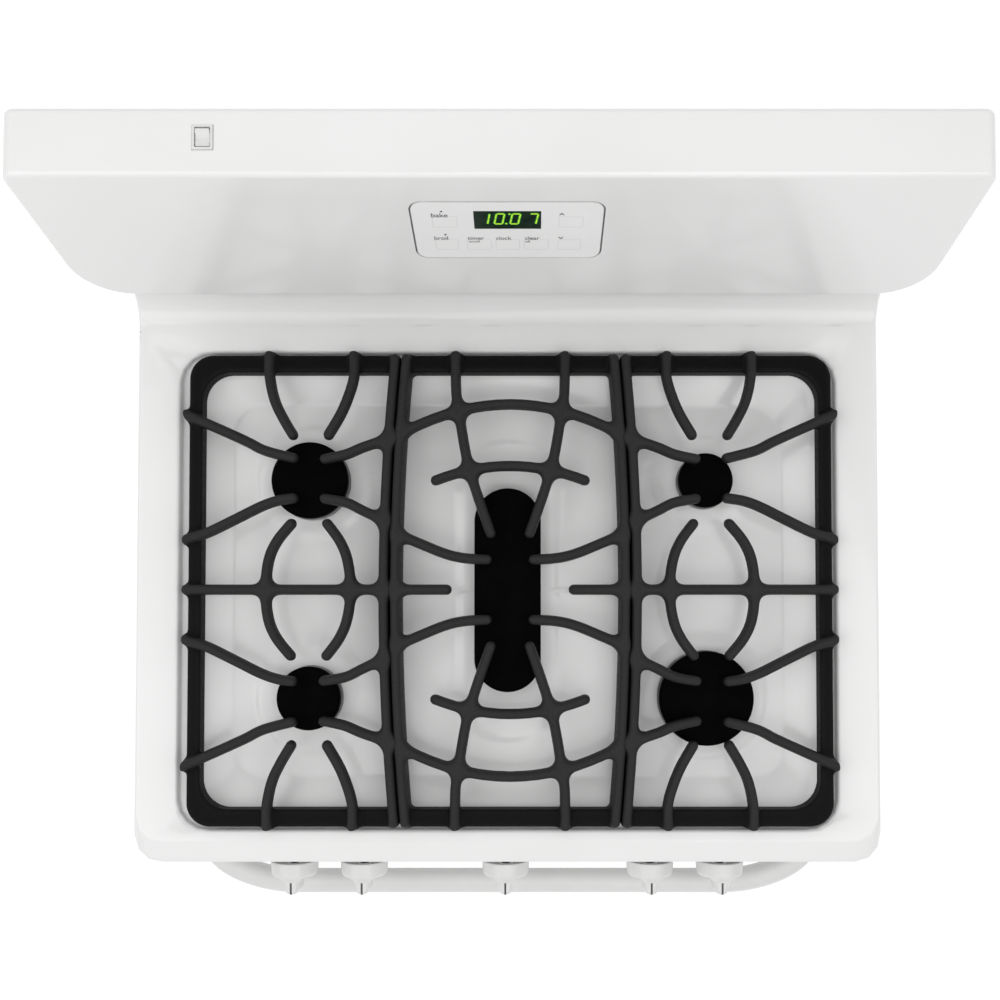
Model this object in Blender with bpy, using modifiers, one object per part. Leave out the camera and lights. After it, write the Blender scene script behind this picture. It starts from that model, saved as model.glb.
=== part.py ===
"""Freestanding gas range: five sealed burners, an oven with two racks and a storage drawer.

Metres, +Z up. The front faces -Y, X runs along the width, and the origin is on the floor under
the centre of the bounding box.
"""
import math

import bmesh
import bpy
from mathutils import Matrix, Vector

# Overall sizes
WIDTH = 0.759
HALF = WIDTH / 2
Y_BACK = 0.353
COOKTOP_Z = 0.914
TOP_Z = 1.194
GAP = 0.0003
SHEET = 0.0012

# Body
BODY_BACK = 0.335
FLANGE_Y = -0.240
SIDE_BOTTOM = 0.028
SIDE_TOP = 0.8865
PAN_Z = 0.030
LEG_X = 0.330
LEG_FRONT_Y = -0.200
LEG_REAR_Y = 0.290

# Cooktop
COOKTOP_FRONT = -0.287
WELL_Y = -0.0100
WELL_HALF_X = 0.334
WELL_HALF_Y = 0.242
LEDGE_DEPTH = 0.008
FLOOR_DEPTH = 0.022
FLOOR_Z = COOKTOP_Z - FLOOR_DEPTH
COVE_Y = 0.2500
COVE_RADIUS = 0.045
COVE_TOP = COOKTOP_Z + COVE_RADIUS

# Burners: name, x, y from the well's centre, cap radius
BURNER_X = 0.2024
BURNER_REAR = 0.1122
BURNER_FRONT = -0.1104
ROUND_BURNERS = (
    ("left_rear", -BURNER_X, BURNER_REAR, 0.0391),
    ("left_front", -BURNER_X, BURNER_FRONT, 0.0324),
    ("right_rear", BURNER_X, BURNER_REAR, 0.0278),
    ("right_front", BURNER_X, BURNER_FRONT, 0.0480),
)
OVAL_RADIUS = 0.0339
OVAL_HALF_LENGTH = 0.104
HEAD_TOP = 0.9055
CAP_TOP = 0.9145
STUB_RADIUS = 0.015

# Grates, which lie loose in the well and a little to the right
GRATE_X = 0.003
FRAME_HALF_X = 0.3247
FRAME_HALF_Y = 0.2378
FRAME_WIDTH = 0.0155
FRAME_BOTTOM = COOKTOP_Z - LEDGE_DEPTH + GAP
FRAME_TOP = 0.9255
RIB_BOTTOM = 0.924
RIB_TOP = 0.936
RIB_FOOT = 0.00925
RIB_CREST = 0.0063
BAR_DROP = 0.0010

# Backguard and console
FACE_TOP = Vector((0.0, 0.2965, 1.188))
FACE_BOTTOM = Vector((0.0, 0.2567, 1.035))
RISER_Y = 0.297
RISER_Z = (0.8875, 1.0345)
CONSOLE_CORNER = 0.045
PANEL_X = 0.005
PANEL_CENTRE = 0.4045
PANEL_SIZE = (0.155, 0.0757)
DISPLAY_CENTRE = 0.311
DISPLAY_SIZE = (0.0542, 0.0234)
SWITCH_X = -0.2248
SWITCH_Y = 0.327
ROCKER_TILT = math.radians(7)

# Valve panel and knobs
PANEL_Y = -0.284
PANEL_Z = (0.797, 0.8865)
KNOB_Z = 0.857
KNOB_XS = (-0.227, -0.153, -0.003, 0.150, 0.224)
KNOB_NAMES = ("left_front", "left_rear", "centre", "right_rear", "right_front")
KNOB_BACK = -0.295
KNOB_RADIUS = 0.0255
KNOB_DEPTH = 0.0337
STEM_RADIUS = 0.004
STEM_BACK = -0.2618
MANIFOLD_Y = -0.222
REGULATOR = Vector((0.322, 0.308, 0.090))

# Oven
CAVITY_X = 0.305
CAVITY_Z = (0.285, 0.715)
CAVITY_BACK = 0.235
OVEN_FLOOR_Z = 0.318
RACK_ZS = (0.400, 0.540)
RACK_HALF_X = 0.288
RACK_Y = (-0.222, 0.214)
RACK_NAMES = ("lower", "upper")

# Door
DOOR_HALF_X = 0.376
DOOR_Z = (0.226, 0.790)
DOOR_FRONT = -0.290
DOOR_BACK = -0.256
HINGE_Y = -0.264
HINGE_Z = 0.246
HINGE_X = 0.345
HANDLE_Z = 0.772
HANDLE_FRONT = -0.352
HANDLE_SECTION = (0.026, 0.030)

# Drawer
DRAWER_Z = (0.060, 0.212)
DRAWER_FRONT = -0.288
DRAWER_BACK = -0.2625
BOX_HALF_X = 0.330
BOX_Z = (0.075, 0.180)
RAIL_Z = 0.160

WHITE = ((0.86, 0.86, 0.85), 0.25, 0.0)
BLACK_IRON = ((0.03, 0.03, 0.03), 0.7, 0.0)
STEEL = ((0.55, 0.55, 0.55), 0.35, 1.0)
ALUMINIUM = ((0.70, 0.70, 0.70), 0.40, 1.0)
DARK_ENAMEL = ((0.08, 0.08, 0.09), 0.3, 0.0)
GLASS = ((0.02, 0.02, 0.02), 0.05, 0.0)
PLASTIC = ((0.80, 0.80, 0.79), 0.4, 0.0)
BOARD = ((0.05, 0.25, 0.10), 0.6, 0.0)
SEAL = ((0.30, 0.30, 0.30), 0.9, 0.0)


def clear_scene():
    for old in list(bpy.data.objects):
        bpy.data.objects.remove(old, do_unlink=True)


def new_collection(name):
    made = bpy.data.collections.new(name)
    bpy.context.scene.collection.children.link(made)
    return made


clear_scene()
PARTS = new_collection("gas_range")
CUTTERS = new_collection("cutters")


def add(name, mesh, look=None):
    """Link a mesh as a finished part, or as a hidden tool shape when it has no look."""
    made = bpy.data.objects.new(name, mesh)
    if look is None:
        CUTTERS.objects.link(made)
        made.hide_render = True
        made.display_type = "WIRE"
        return made
    PARTS.objects.link(made)
    colour, roughness, metallic = look
    material = bpy.data.materials.new(name)
    material.use_nodes = True
    shader = material.node_tree.nodes["Principled BSDF"]
    shader.inputs["Base Color"].default_value = (*colour, 1.0)
    shader.inputs["Roughness"].default_value = roughness
    shader.inputs["Metallic"].default_value = metallic
    mesh.materials.append(material)
    return made


def to_mesh(bm, name):
    bmesh.ops.recalc_face_normals(bm, faces=bm.faces)
    mesh = bpy.data.meshes.new(name)
    bm.to_mesh(mesh)
    bm.free()
    return mesh


def box_form(low, high):
    low, high = Vector(low), Vector(high)
    bm = bmesh.new()
    bmesh.ops.create_cube(bm, size=1.0)
    bmesh.ops.scale(bm, vec=high - low, verts=bm.verts)
    bmesh.ops.translate(bm, vec=(low + high) / 2, verts=bm.verts)
    return bm


def box(name, low, high, look=None, bevel=0.0):
    made = add(name, to_mesh(box_form(low, high), name), look)
    if bevel:
        round_edges(made, bevel)
    return made


def round_edges(target, width, segments=2):
    modifier = target.modifiers.new("rounding", "BEVEL")
    modifier.width = width
    modifier.segments = segments
    modifier.limit_method = "ANGLE"


def cylinder(name, centre, axis, radius, length, look=None, sides=24):
    bm = bmesh.new()
    bmesh.ops.create_cone(bm, cap_ends=True, segments=sides, radius1=radius, radius2=radius, depth=length)
    turn = Vector((0, 0, 1)).rotation_difference(Vector(axis)).to_matrix().to_4x4()
    bmesh.ops.transform(bm, matrix=Matrix.Translation(Vector(centre)) @ turn, verts=bm.verts)
    return add(name, to_mesh(bm, name), look)


def shell(name, low, high, opening, thickness, radius, look):
    """A box open towards one side, with rounded edges and a wall of even thickness."""
    bm = box_form(low, high)
    outward = Vector(opening)
    removed = [face for face in bm.faces if face.normal.dot(outward) > 0.9]
    bmesh.ops.delete(bm, geom=removed, context="FACES")
    inner_edges = [edge for edge in bm.edges if not edge.is_boundary]
    if radius:
        bmesh.ops.bevel(bm, geom=inner_edges, offset=radius, segments=2, profile=0.5, affect="EDGES")
    mesh = bpy.data.meshes.new(name)
    bm.to_mesh(mesh)
    bm.free()
    made = add(name, mesh, look)
    thicken(made, thickness)
    return made


def thicken(target, thickness):
    """Grow a wall behind an open surface, away from its normals."""
    modifier = target.modifiers.new("wall", "SOLIDIFY")
    modifier.thickness = thickness
    modifier.offset = -1.0
    modifier.use_even_offset = True


def combine(target, operation, *tools):
    for tool in tools:
        modifier = target.modifiers.new(operation.lower(), "BOOLEAN")
        modifier.operation = operation
        modifier.object = tool
        modifier.solver = "EXACT"
    return target


def cut(target, *tools):
    return combine(target, "DIFFERENCE", *tools)


def join(target, *tools):
    return combine(target, "UNION", *tools)


def cut_box(target, low, high):
    return cut(target, box(target.name + "_cut", low, high))


def cut_round(target, centre, axis, radius, length, sides=24):
    return cut(target, cylinder(target.name + "_bore", centre, axis, radius, length, None, sides))


def set_origin(target, point):
    """Move the origin to a joint's axis without moving the piece."""
    point = Vector(point)
    target.data.transform(Matrix.Translation(-point))
    target.location = point
    return target


def flat_outline(name, points, bottom, top, look=None):
    """A flat closed outline in X and Y, filled and extruded between two heights."""
    curve = bpy.data.curves.new(name, "CURVE")
    curve.dimensions = "2D"
    curve.fill_mode = "BOTH"
    curve.extrude = (top - bottom) / 2
    spline = curve.splines.new("POLY")
    spline.points.add(len(points) - 1)
    for slot, (x, y) in zip(spline.points, points):
        slot.co = (x, y, 0.0, 1.0)
    spline.use_cyclic_u = True
    guide = bpy.data.objects.new(name + "_outline", curve)
    CUTTERS.objects.link(guide)
    guide.location.z = (top + bottom) / 2
    return curve_to_mesh(guide, name, look)


def curve_to_mesh(guide, name, look):
    bpy.context.view_layer.update()
    evaluated = guide.evaluated_get(bpy.context.evaluated_depsgraph_get())
    mesh = bpy.data.meshes.new_from_object(evaluated)
    mesh.name = name
    mesh.transform(guide.matrix_world)
    mesh.materials.clear()
    bm = bmesh.new()
    bm.from_mesh(mesh)
    bmesh.ops.remove_doubles(bm, verts=bm.verts, dist=0.00001)
    bmesh.ops.recalc_face_normals(bm, faces=bm.faces)
    bm.to_mesh(mesh)
    bm.free()
    bpy.data.objects.remove(guide, do_unlink=True)
    return add(name, mesh, look)


def tube(name, points, radius, look=None, closed=False, resolution=1):
    curve = bpy.data.curves.new(name, "CURVE")
    curve.dimensions = "3D"
    curve.bevel_depth = radius
    curve.bevel_resolution = resolution
    curve.use_fill_caps = True
    spline = curve.splines.new("POLY")
    spline.points.add(len(points) - 1)
    for slot, point in zip(spline.points, points):
        slot.co = (*point, 1.0)
    spline.use_cyclic_u = closed
    guide = bpy.data.objects.new(name + "_path", curve)
    CUTTERS.objects.link(guide)
    return curve_to_mesh(guide, name, look)


def rail_section(name, foot, crest, height):
    """The trapezoid section of a rail, centred on its path in X and standing up in Y."""
    curve = bpy.data.curves.new(name, "CURVE")
    curve.dimensions = "2D"
    spline = curve.splines.new("POLY")
    low, high = -height / 2, height / 2
    corners = ((-foot / 2, low), (foot / 2, low), (crest / 2, high), (-crest / 2, high))
    spline.points.add(len(corners) - 1)
    for slot, (x, y) in zip(spline.points, corners):
        slot.co = (x, y, 0.0, 1.0)
    spline.use_cyclic_u = True
    section = bpy.data.objects.new(name, curve)
    CUTTERS.objects.link(section)
    return section


def oval_section(name, depth, height, sides=12):
    """The section of the door handle: an oval with flattened sides."""
    curve = bpy.data.curves.new(name, "CURVE")
    curve.dimensions = "2D"
    spline = curve.splines.new("POLY")
    spline.points.add(sides - 1)
    for step, slot in enumerate(spline.points):
        angle = 2 * math.pi * (step + 0.5) / sides
        across, up = math.cos(angle), math.sin(angle)
        reach = (abs(across) ** 2.6 + abs(up) ** 2.6) ** (-1 / 2.6)
        slot.co = (depth / 2 * across * reach, height / 2 * up * reach, 0.0, 1.0)
    spline.use_cyclic_u = True
    section = bpy.data.objects.new(name, curve)
    CUTTERS.objects.link(section)
    return section


def rail(name, points, bottom, top, foot, crest, look=None):
    """A level bar along a path of (x, y) points, with a trapezoid section."""
    section = rail_section(name + "_section", foot, crest, top - bottom)
    curve = bpy.data.curves.new(name, "CURVE")
    curve.dimensions = "3D"
    curve.twist_mode = "Z_UP"
    curve.bevel_mode = "OBJECT"
    curve.bevel_object = section
    curve.use_fill_caps = True
    spline = curve.splines.new("POLY")
    spline.points.add(len(points) - 1)
    for slot, (x, y) in zip(spline.points, points):
        slot.co = (x, y, (bottom + top) / 2, 1.0)
    guide = bpy.data.objects.new(name + "_path", curve)
    CUTTERS.objects.link(guide)
    made = curve_to_mesh(guide, name, look)
    bpy.data.objects.remove(section, do_unlink=True)
    return made


def turned(name, profile, centre, look=None, steps=20):
    """A solid turned about a vertical axis from (radius, height) points, top to bottom."""
    bm = bmesh.new()
    chain = [bm.verts.new((radius, 0.0, height)) for radius, height in profile]
    for first, second in zip(chain, chain[1:]):
        bm.edges.new((first, second))
    mesh = bpy.data.meshes.new(name)
    bm.to_mesh(mesh)
    bm.free()
    made = add(name, mesh, look)
    made.location = Vector(centre)
    screw = made.modifiers.new("turning", "SCREW")
    screw.steps = steps
    screw.render_steps = steps
    screw.use_merge_vertices = True
    screw.merge_threshold = 0.00001
    return made


def arc(centre, radius, start, end, steps):
    """Points (u, v) along a circular arc, with the angles in degrees."""
    points = []
    for step in range(steps + 1):
        angle = math.radians(start + (end - start) * step / steps)
        points.append((centre[0] + radius * math.cos(angle), centre[1] + radius * math.sin(angle)))
    return points


def rounded_rectangle(half_x, half_y, radius, steps, rear=None):
    """Closed outline; rear is the radius of the two corners in +Y when it differs."""
    points = []
    for quarter, (sign_x, sign_y) in enumerate(((1, 1), (-1, 1), (-1, -1), (1, -1))):
        turn = rear if rear is not None and sign_y > 0 else radius
        centre = (sign_x * (half_x - turn), sign_y * (half_y - turn))
        points += arc(centre, turn, 90 * quarter, 90 * quarter + 90, steps)
    return points


def stadium(radius, half_length, steps):
    """An outline with two round ends, long in Y."""
    straight = half_length - radius
    return arc((0, straight), radius, 0, 180, steps) + arc((0, -straight), radius, 180, 360, steps)


def face_point(along, x=0.0, lift=0.0):
    """A point on the console's sloping face: 0 at its top edge, 1 at its bottom edge."""
    down = FACE_BOTTOM - FACE_TOP
    outward = Vector((0.0, down.z, -down.y)).normalized()
    return FACE_TOP + down * along + Vector((x, 0, 0)) + outward * lift


def face_turn():
    down = (FACE_BOTTOM - FACE_TOP).normalized()
    return -math.atan2(-down.y, -down.z)


# ---------------------------------------------------------------- body

def side_panel(side, sign):
    flange = 0.0125
    skin = sign * HALF
    lip = sign * (HALF - flange)
    path = ((lip, FLANGE_Y), (skin, FLANGE_Y), (skin, BODY_BACK), (lip, BODY_BACK))
    bm = bmesh.new()
    low = [bm.verts.new((x, y, SIDE_BOTTOM)) for x, y in path]
    high = [bm.verts.new((x, y, SIDE_TOP)) for x, y in path]
    for index in range(len(path) - 1):
        bm.faces.new((low[index], low[index + 1], high[index + 1], high[index]))
    if sign < 0:
        bmesh.ops.reverse_faces(bm, faces=bm.faces)
    mesh = bpy.data.meshes.new("side_panel")
    bm.to_mesh(mesh)
    bm.free()
    thicken(add("side_panel_" + side, mesh, WHITE), SHEET)


def base_pan():
    """Floor of the body, with a flanged rail at each side that carries the drawer."""
    rail_x = 0.350
    lip_x = 0.336
    path = ((-lip_x, RAIL_Z), (-rail_x, RAIL_Z), (-rail_x, PAN_Z))
    path += tuple((-x, z) for x, z in reversed(path))
    bm = bmesh.new()
    front = [bm.verts.new((x, -0.235, z)) for x, z in path]
    rear = [bm.verts.new((x, 0.330, z)) for x, z in path]
    for index in range(len(path) - 1):
        bm.faces.new((front[index], front[index + 1], rear[index + 1], rear[index]))
    mesh = bpy.data.meshes.new("base_pan")
    bm.to_mesh(mesh)
    bm.free()
    pan = add("base_pan", mesh, STEEL)
    thicken(pan, SHEET)
    for x in (-LEG_X, LEG_X):
        for y in (LEG_FRONT_Y, LEG_REAR_Y):
            cut_round(pan, (x, y, PAN_Z), (0, 0, 1), 0.0058, 0.01, 12)


def levelling_leg(name, x, y):
    """A screwed leg: a foot disc, a hexagon to turn it by, and a stud through the base pan."""
    leg = cylinder("levelling_leg_" + name, (x, y, 0.004), (0, 0, 1), 0.019, 0.008, STEEL)
    join(leg, cylinder(name + "_hexagon", (x, y, 0.0155), (0, 0, 1), 0.012, 0.0175, None, 6))
    join(leg, cylinder(name + "_stud", (x, y, 0.035), (0, 0, 1), 0.005, 0.030, None, 12))
    bake_at(leg, (x, y, 0))


def bake_at(target, point):
    """Bake a joined piece and put its origin on its joint's axis."""
    bpy.context.view_layer.update()
    evaluated = target.evaluated_get(bpy.context.evaluated_depsgraph_get())
    mesh = bpy.data.meshes.new_from_object(evaluated)
    tools = [modifier.object for modifier in target.modifiers if modifier.type == "BOOLEAN"]
    target.modifiers.clear()
    mesh.transform(target.matrix_world)
    target.matrix_world = Matrix.Identity(4)
    target.data = mesh
    for tool in tools:
        bpy.data.objects.remove(tool, do_unlink=True)
    set_origin(target, point)
    return target


def back_panel():
    box("back_panel", (-0.378, BODY_BACK + GAP, 0.130), (0.378, BODY_BACK + GAP + SHEET, SIDE_TOP), STEEL)


def valve_panel():
    low = (-HALF, PANEL_Y, PANEL_Z[0])
    panel = shell("valve_panel", low, (HALF, FLANGE_Y - 0.001, PANEL_Z[1]), (0, 1, 0), SHEET, 0.004, WHITE)
    for x in KNOB_XS:
        cut_round(panel, (x, PANEL_Y, KNOB_Z), (0, 1, 0), 0.0055, 0.02, 16)


# ---------------------------------------------------------------- cooktop

def cooktop():
    """One pressed sheet: side aprons, rim, grate ledge, sloping wall, floor and rear cove."""
    centre_y = (COOKTOP_FRONT + COVE_Y + 0.0025) / 2
    depth = COVE_Y + 0.0025 - centre_y
    well = WELL_Y - centre_y
    roll = 0.008
    rings = [(HALF, depth, 0.028, 0.0, PANEL_Z[1] + 0.0008)]
    rings += [(HALF, depth, 0.028, 0.0, COOKTOP_Z - roll)]
    rings += [(HALF - 0.0023, depth - 0.0023, 0.0257, 0.0, COOKTOP_Z - 0.0023)]
    rings += [(HALF - roll, depth - roll, 0.020, 0.0, COOKTOP_Z)]
    rings += [(WELL_HALF_X, WELL_HALF_Y, 0.030, well, COOKTOP_Z)]
    rings += [(WELL_HALF_X - 0.0025, WELL_HALF_Y - 0.0025, 0.0275, well, COOKTOP_Z - LEDGE_DEPTH)]
    rings += [(WELL_HALF_X - 0.019, WELL_HALF_Y - 0.019, 0.030, well, COOKTOP_Z - LEDGE_DEPTH)]
    rings += [(WELL_HALF_X - 0.050, WELL_HALF_Y - 0.050, 0.030, well, FLOOR_Z)]
    bm = bmesh.new()
    loops = []
    for half_x, half_y, radius, shift, height in rings:
        outline = rounded_rectangle(half_x, half_y, radius, 4, None if shift else 0.002)
        loops.append([bm.verts.new((x, y + shift + centre_y, height)) for x, y in outline])
    for lower, upper in zip(loops, loops[1:]):
        for index in range(len(lower)):
            after = (index + 1) % len(lower)
            bm.faces.new((lower[index], lower[after], upper[after], upper[index]))
    bm.faces.new(loops[-1])
    mesh = bpy.data.meshes.new("cooktop")
    bm.to_mesh(mesh)
    bm.free()
    top = add("cooktop", mesh, WHITE)
    thicken(top, 0.0015)
    join(top, *rear_cove())
    for _, x, y, _ in ROUND_BURNERS:
        cut_round(top, (x, WELL_Y + y, FLOOR_Z), (0, 0, 1), STUB_RADIUS + 0.0005, 0.02)
    cut_round(top, (0, WELL_Y, FLOOR_Z), (0, 0, 1), STUB_RADIUS + 0.0005, 0.02)


def rear_cove():
    """The rear edge sweeps up as a quarter round, closed by a web at each end."""
    wall = 0.0015
    centre = (COVE_Y, COVE_TOP)
    inside = arc(centre, COVE_RADIUS, -90, 0, 8)
    outside = arc(centre, COVE_RADIUS + wall, 0, -90, 8)
    lead = 0.006
    front = [(COVE_Y - lead, COOKTOP_Z - wall - 0.0002), (COVE_Y - lead, COOKTOP_Z - 0.0002)]
    sheet = inside + [(COVE_Y + COVE_RADIUS + wall, COVE_TOP)] + outside[1:] + front
    web = [(COVE_Y, PANEL_Z[1] + 0.001)] + [(COVE_Y, COOKTOP_Z - 0.0004)] + inside[1:]
    web += [(COVE_Y + COVE_RADIUS + wall, COVE_TOP), (COVE_Y + COVE_RADIUS + wall, PANEL_Z[1] + 0.001)]
    made = [side_outline("cove", sheet, -HALF, HALF)]
    for sign in (-1, 1):
        ends = sorted((sign * HALF, sign * (HALF - wall)))
        made.append(side_outline("cove_web", web, ends[0], ends[1]))
    return made


def side_outline(name, points, left, right, look=None):
    """An outline of (y, z) points extruded along X."""
    made = flat_outline(name, points, left, right, look)
    turn = Matrix(((0, 0, 1, 0), (1, 0, 0, 0), (0, 1, 0, 0), (0, 0, 0, 1)))
    made.data.transform(turn)
    return made


def round_burner(name, x, y, radius):
    place = (x, WELL_Y + y, 0)
    base = FLOOR_Z + GAP
    seat = HEAD_TOP - 0.002
    profile = ((0, HEAD_TOP), (radius * 0.80, HEAD_TOP), (radius * 0.82, seat), (radius - 0.002, seat))
    profile += ((radius - 0.002, base + 0.004), (radius + 0.001, base + 0.002), (radius + 0.001, base))
    profile += ((STUB_RADIUS, base), (STUB_RADIUS, base - 0.020), (0, base - 0.020))
    turned("burner_head_" + name, profile, place, ALUMINIUM)
    lid = HEAD_TOP + GAP
    cap = ((0, CAP_TOP), (radius * 0.7, CAP_TOP - 0.0003), (radius - 0.002, CAP_TOP - 0.0015))
    cap += ((radius, CAP_TOP - 0.004), (radius, seat + GAP), (radius * 0.82 + 0.0005, seat + GAP))
    cap += ((radius * 0.82 + 0.0005, lid), (0, lid))
    turned("burner_cap_" + name, cap, place, BLACK_IRON)


def oval_burner():
    base = FLOOR_Z + GAP
    seat = HEAD_TOP - 0.002
    inset = 0.002
    outline = stadium(OVAL_RADIUS - inset, OVAL_HALF_LENGTH - inset, 10)
    head = shifted_outline("burner_head_centre", outline, base, seat, ALUMINIUM)
    riser = stadium(OVAL_RADIUS * 0.8, OVAL_HALF_LENGTH - OVAL_RADIUS * 0.2, 10)
    join(head, shifted_outline("oval_riser", riser, seat - 0.001, HEAD_TOP))
    join(head, cylinder("oval_stub", (0, WELL_Y, base - 0.009), (0, 0, 1), STUB_RADIUS, 0.022))
    outline = stadium(OVAL_RADIUS, OVAL_HALF_LENGTH, 10)
    cap = shifted_outline("burner_cap_centre", outline, seat + GAP, CAP_TOP, BLACK_IRON)
    recess = stadium(OVAL_RADIUS * 0.8 + 0.0005, OVAL_HALF_LENGTH - OVAL_RADIUS * 0.2 + 0.0005, 10)
    cut(cap, shifted_outline("oval_recess", recess, seat - 0.002, HEAD_TOP + GAP))
    bake_at(cap, (0, WELL_Y, 0))


def shifted_outline(name, outline, bottom, top, look=None):
    return flat_outline(name, [(x, y + WELL_Y) for x, y in outline], bottom, top, look)


# ---------------------------------------------------------------- grates

# Fingers of one quarter of a side grate, in millimetres from the grate's centre line
SIDE_FINGERS = (
    ((242.4, 232.2), (242.4, 213.7), (237.5, 190.8), (228.8, 172.3), (219, 155.8)),
    ((157.2, 232.2), (157.7, 213.7), (163.5, 193.7), (171.3, 175.7), (183, 155.8)),
    ((321.7, 174.3), (303.7, 166.5), (266.7, 149.9), (247.3, 140.2), (218.1, 132.4)),
    ((117.4, 152.8), (125.6, 150.9), (148.9, 143.1), (165, 136.3), (186.4, 131.4)),
    ((323.2, 51.1), (303.7, 57.4), (275.5, 71.1), (250.2, 83.7), (233.6, 89.6), (218.1, 92)),
    ((125.6, 69.1), (128.5, 70.1), (148.9, 79.8), (165, 87.6), (186.4, 91.5)),
)
# Half length of the bowed bars, just short of the frame's outer edge
BAR_END = 233.0
# Curved pair about a side grate's middle bar, drawn from one end to the middle bar
SIDE_BOWS = (
    ((220, 66.2), (234.1, 48.7), (242.4, 29.2), (245.3, 0)),
    ((184, 66.2), (171.3, 48.7), (163.5, 29.2), (160.1, 0)),
)
MIDDLE_UPRIGHT = (
    (55, 232.2), (55, 222), (54.5, 198.6), (51.6, 178.2),
    (46.1, 144.1), (41.2, 121.7), (33.1, 95.4), (19.5, 56.5),
)
MIDDLE_CURL = ((112, 55.5), (89.6, 45.8), (65.2, 36), (45.8, 31.6), (23.4, 30.2))


def bowed_line(ends, middle, half_length, steps=8):
    """X of a shallow arc that runs along Y, as (x, y) points."""
    points = []
    for step in range(steps + 1):
        y = half_length * (2 * step / steps - 1)
        points.append((middle + (ends - middle) * (y / half_length) ** 2, y))
    return points


def crossing_arc(apex, edge_x, edge_y, steps=8):
    """A shallow arc across the middle grate, with its apex on the centre line."""
    points = []
    for step in range(steps + 1):
        x = edge_x * (2 * step / steps - 1)
        points.append((x, apex + (edge_y - apex) * (x / edge_x) ** 2))
    return points


def place_points(points, sign_x, sign_y):
    return [(GRATE_X + sign_x * x / 1000, WELL_Y + sign_y * y / 1000) for x, y in points]


def rib(name, points, order, sign_x=1, sign_y=1):
    """One finger; the crest steps down a hair with its order so that no two crests coincide."""
    drop = 0.00012 * order
    placed = place_points(points, sign_x, sign_y)
    return rail(name, placed, RIB_BOTTOM + drop, RIB_TOP - drop, RIB_FOOT, RIB_CREST)


def side_grate(side, sign):
    """Left or right grate: a three-sided frame, a bowed inner bar, twelve fingers and a middle bar."""
    inset = FRAME_WIDTH / 2
    radius = 0.018
    outer_x = FRAME_HALF_X - inset
    outer_y = FRAME_HALF_Y - inset
    corner = (outer_x - radius, outer_y - radius)
    path = [(0.1158, outer_y)] + arc(corner, radius, 90, 0, 4)
    path += arc((corner[0], -corner[1]), radius, 0, -90, 4) + [(0.1158, -outer_y)]
    frame_path = [(GRATE_X + sign * x, WELL_Y + y) for x, y in path]
    grate = rail("grate_" + side, frame_path, FRAME_BOTTOM, FRAME_TOP, FRAME_WIDTH, FRAME_WIDTH, BLACK_IRON)
    inner = bowed_line(115.8, 127.1, BAR_END)
    foot = FRAME_BOTTOM + 0.0002
    inner_bar = rail("inner", place_points(inner, sign, 1), foot, RIB_TOP - BAR_DROP, RIB_FOOT, RIB_CREST)
    join(grate, inner_bar)
    order = 0
    for sign_y in (-1, 1):
        for points in SIDE_FINGERS:
            join(grate, rib("finger", points, order % 3, sign, sign_y))
            order += 1
    for points in SIDE_BOWS:
        whole = list(points) + [(x, -y) for x, y in reversed(points[:-1])]
        join(grate, rib("bow", whole, order % 3, sign))
        order += 1
    join(grate, rib("middle_bar", ((323.7, 0), (125.6, 0)), 4, sign))
    return bake_at(grate, (GRATE_X + sign * 0.225, WELL_Y, FRAME_BOTTOM))


def middle_grate():
    """Centre grate: two bowed side bars, two end bars, uprights, crossing arcs and curled fingers."""
    side = place_points(bowed_line(104.7, 115.4, BAR_END), 1, 1)
    foot = FRAME_BOTTOM + 0.0002
    grate = rail("grate_middle", side, foot, RIB_TOP - BAR_DROP, RIB_FOOT, RIB_CREST, BLACK_IRON)
    other = place_points(bowed_line(104.7, 115.4, BAR_END), -1, 1)
    join(grate, rail("side_bar", other, foot, RIB_TOP - BAR_DROP, RIB_FOOT, RIB_CREST))
    end_y = (FRAME_HALF_Y - FRAME_WIDTH / 2) * 1000
    for sign_y in (-1, 1):
        ends = place_points(((-104.7, end_y), (104.7, end_y)), 1, sign_y)
        join(grate, rail("end_bar", ends, FRAME_BOTTOM, FRAME_TOP, FRAME_WIDTH, FRAME_WIDTH))
        join(grate, rib("outer_arc", crossing_arc(186.9, 105.1, 159.7), 2, 1, sign_y))
        join(grate, rib("inner_arc", crossing_arc(124.6, 75, 110), 3, 1, sign_y))
        for sign_x in (-1, 1):
            join(grate, rib("upright", MIDDLE_UPRIGHT, 0, sign_x, sign_y))
            join(grate, rib("curl", MIDDLE_CURL, 1, sign_x, sign_y))
    for sign_x in (-1, 1):
        join(grate, rib("straight", ((114.9, 0), (63.8, 0)), 1, sign_x))
    return bake_at(grate, (GRATE_X, WELL_Y, FRAME_BOTTOM))


# ---------------------------------------------------------------- backguard and console

def backguard_riser():
    """Box behind the cooktop that carries the console; the oven vents through its slots."""
    low = (-0.3785, RISER_Y, RISER_Z[0])
    riser = shell("backguard_riser", low, (0.3785, 0.3515, RISER_Z[1]), (0, 1, 0), SHEET, 0, WHITE)
    for step in range(7):
        x = (step - 3) * 0.060
        cut_box(riser, (x - 0.022, RISER_Y - 0.01, 0.995), (x + 0.022, RISER_Y + 0.01, 1.003))


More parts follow.
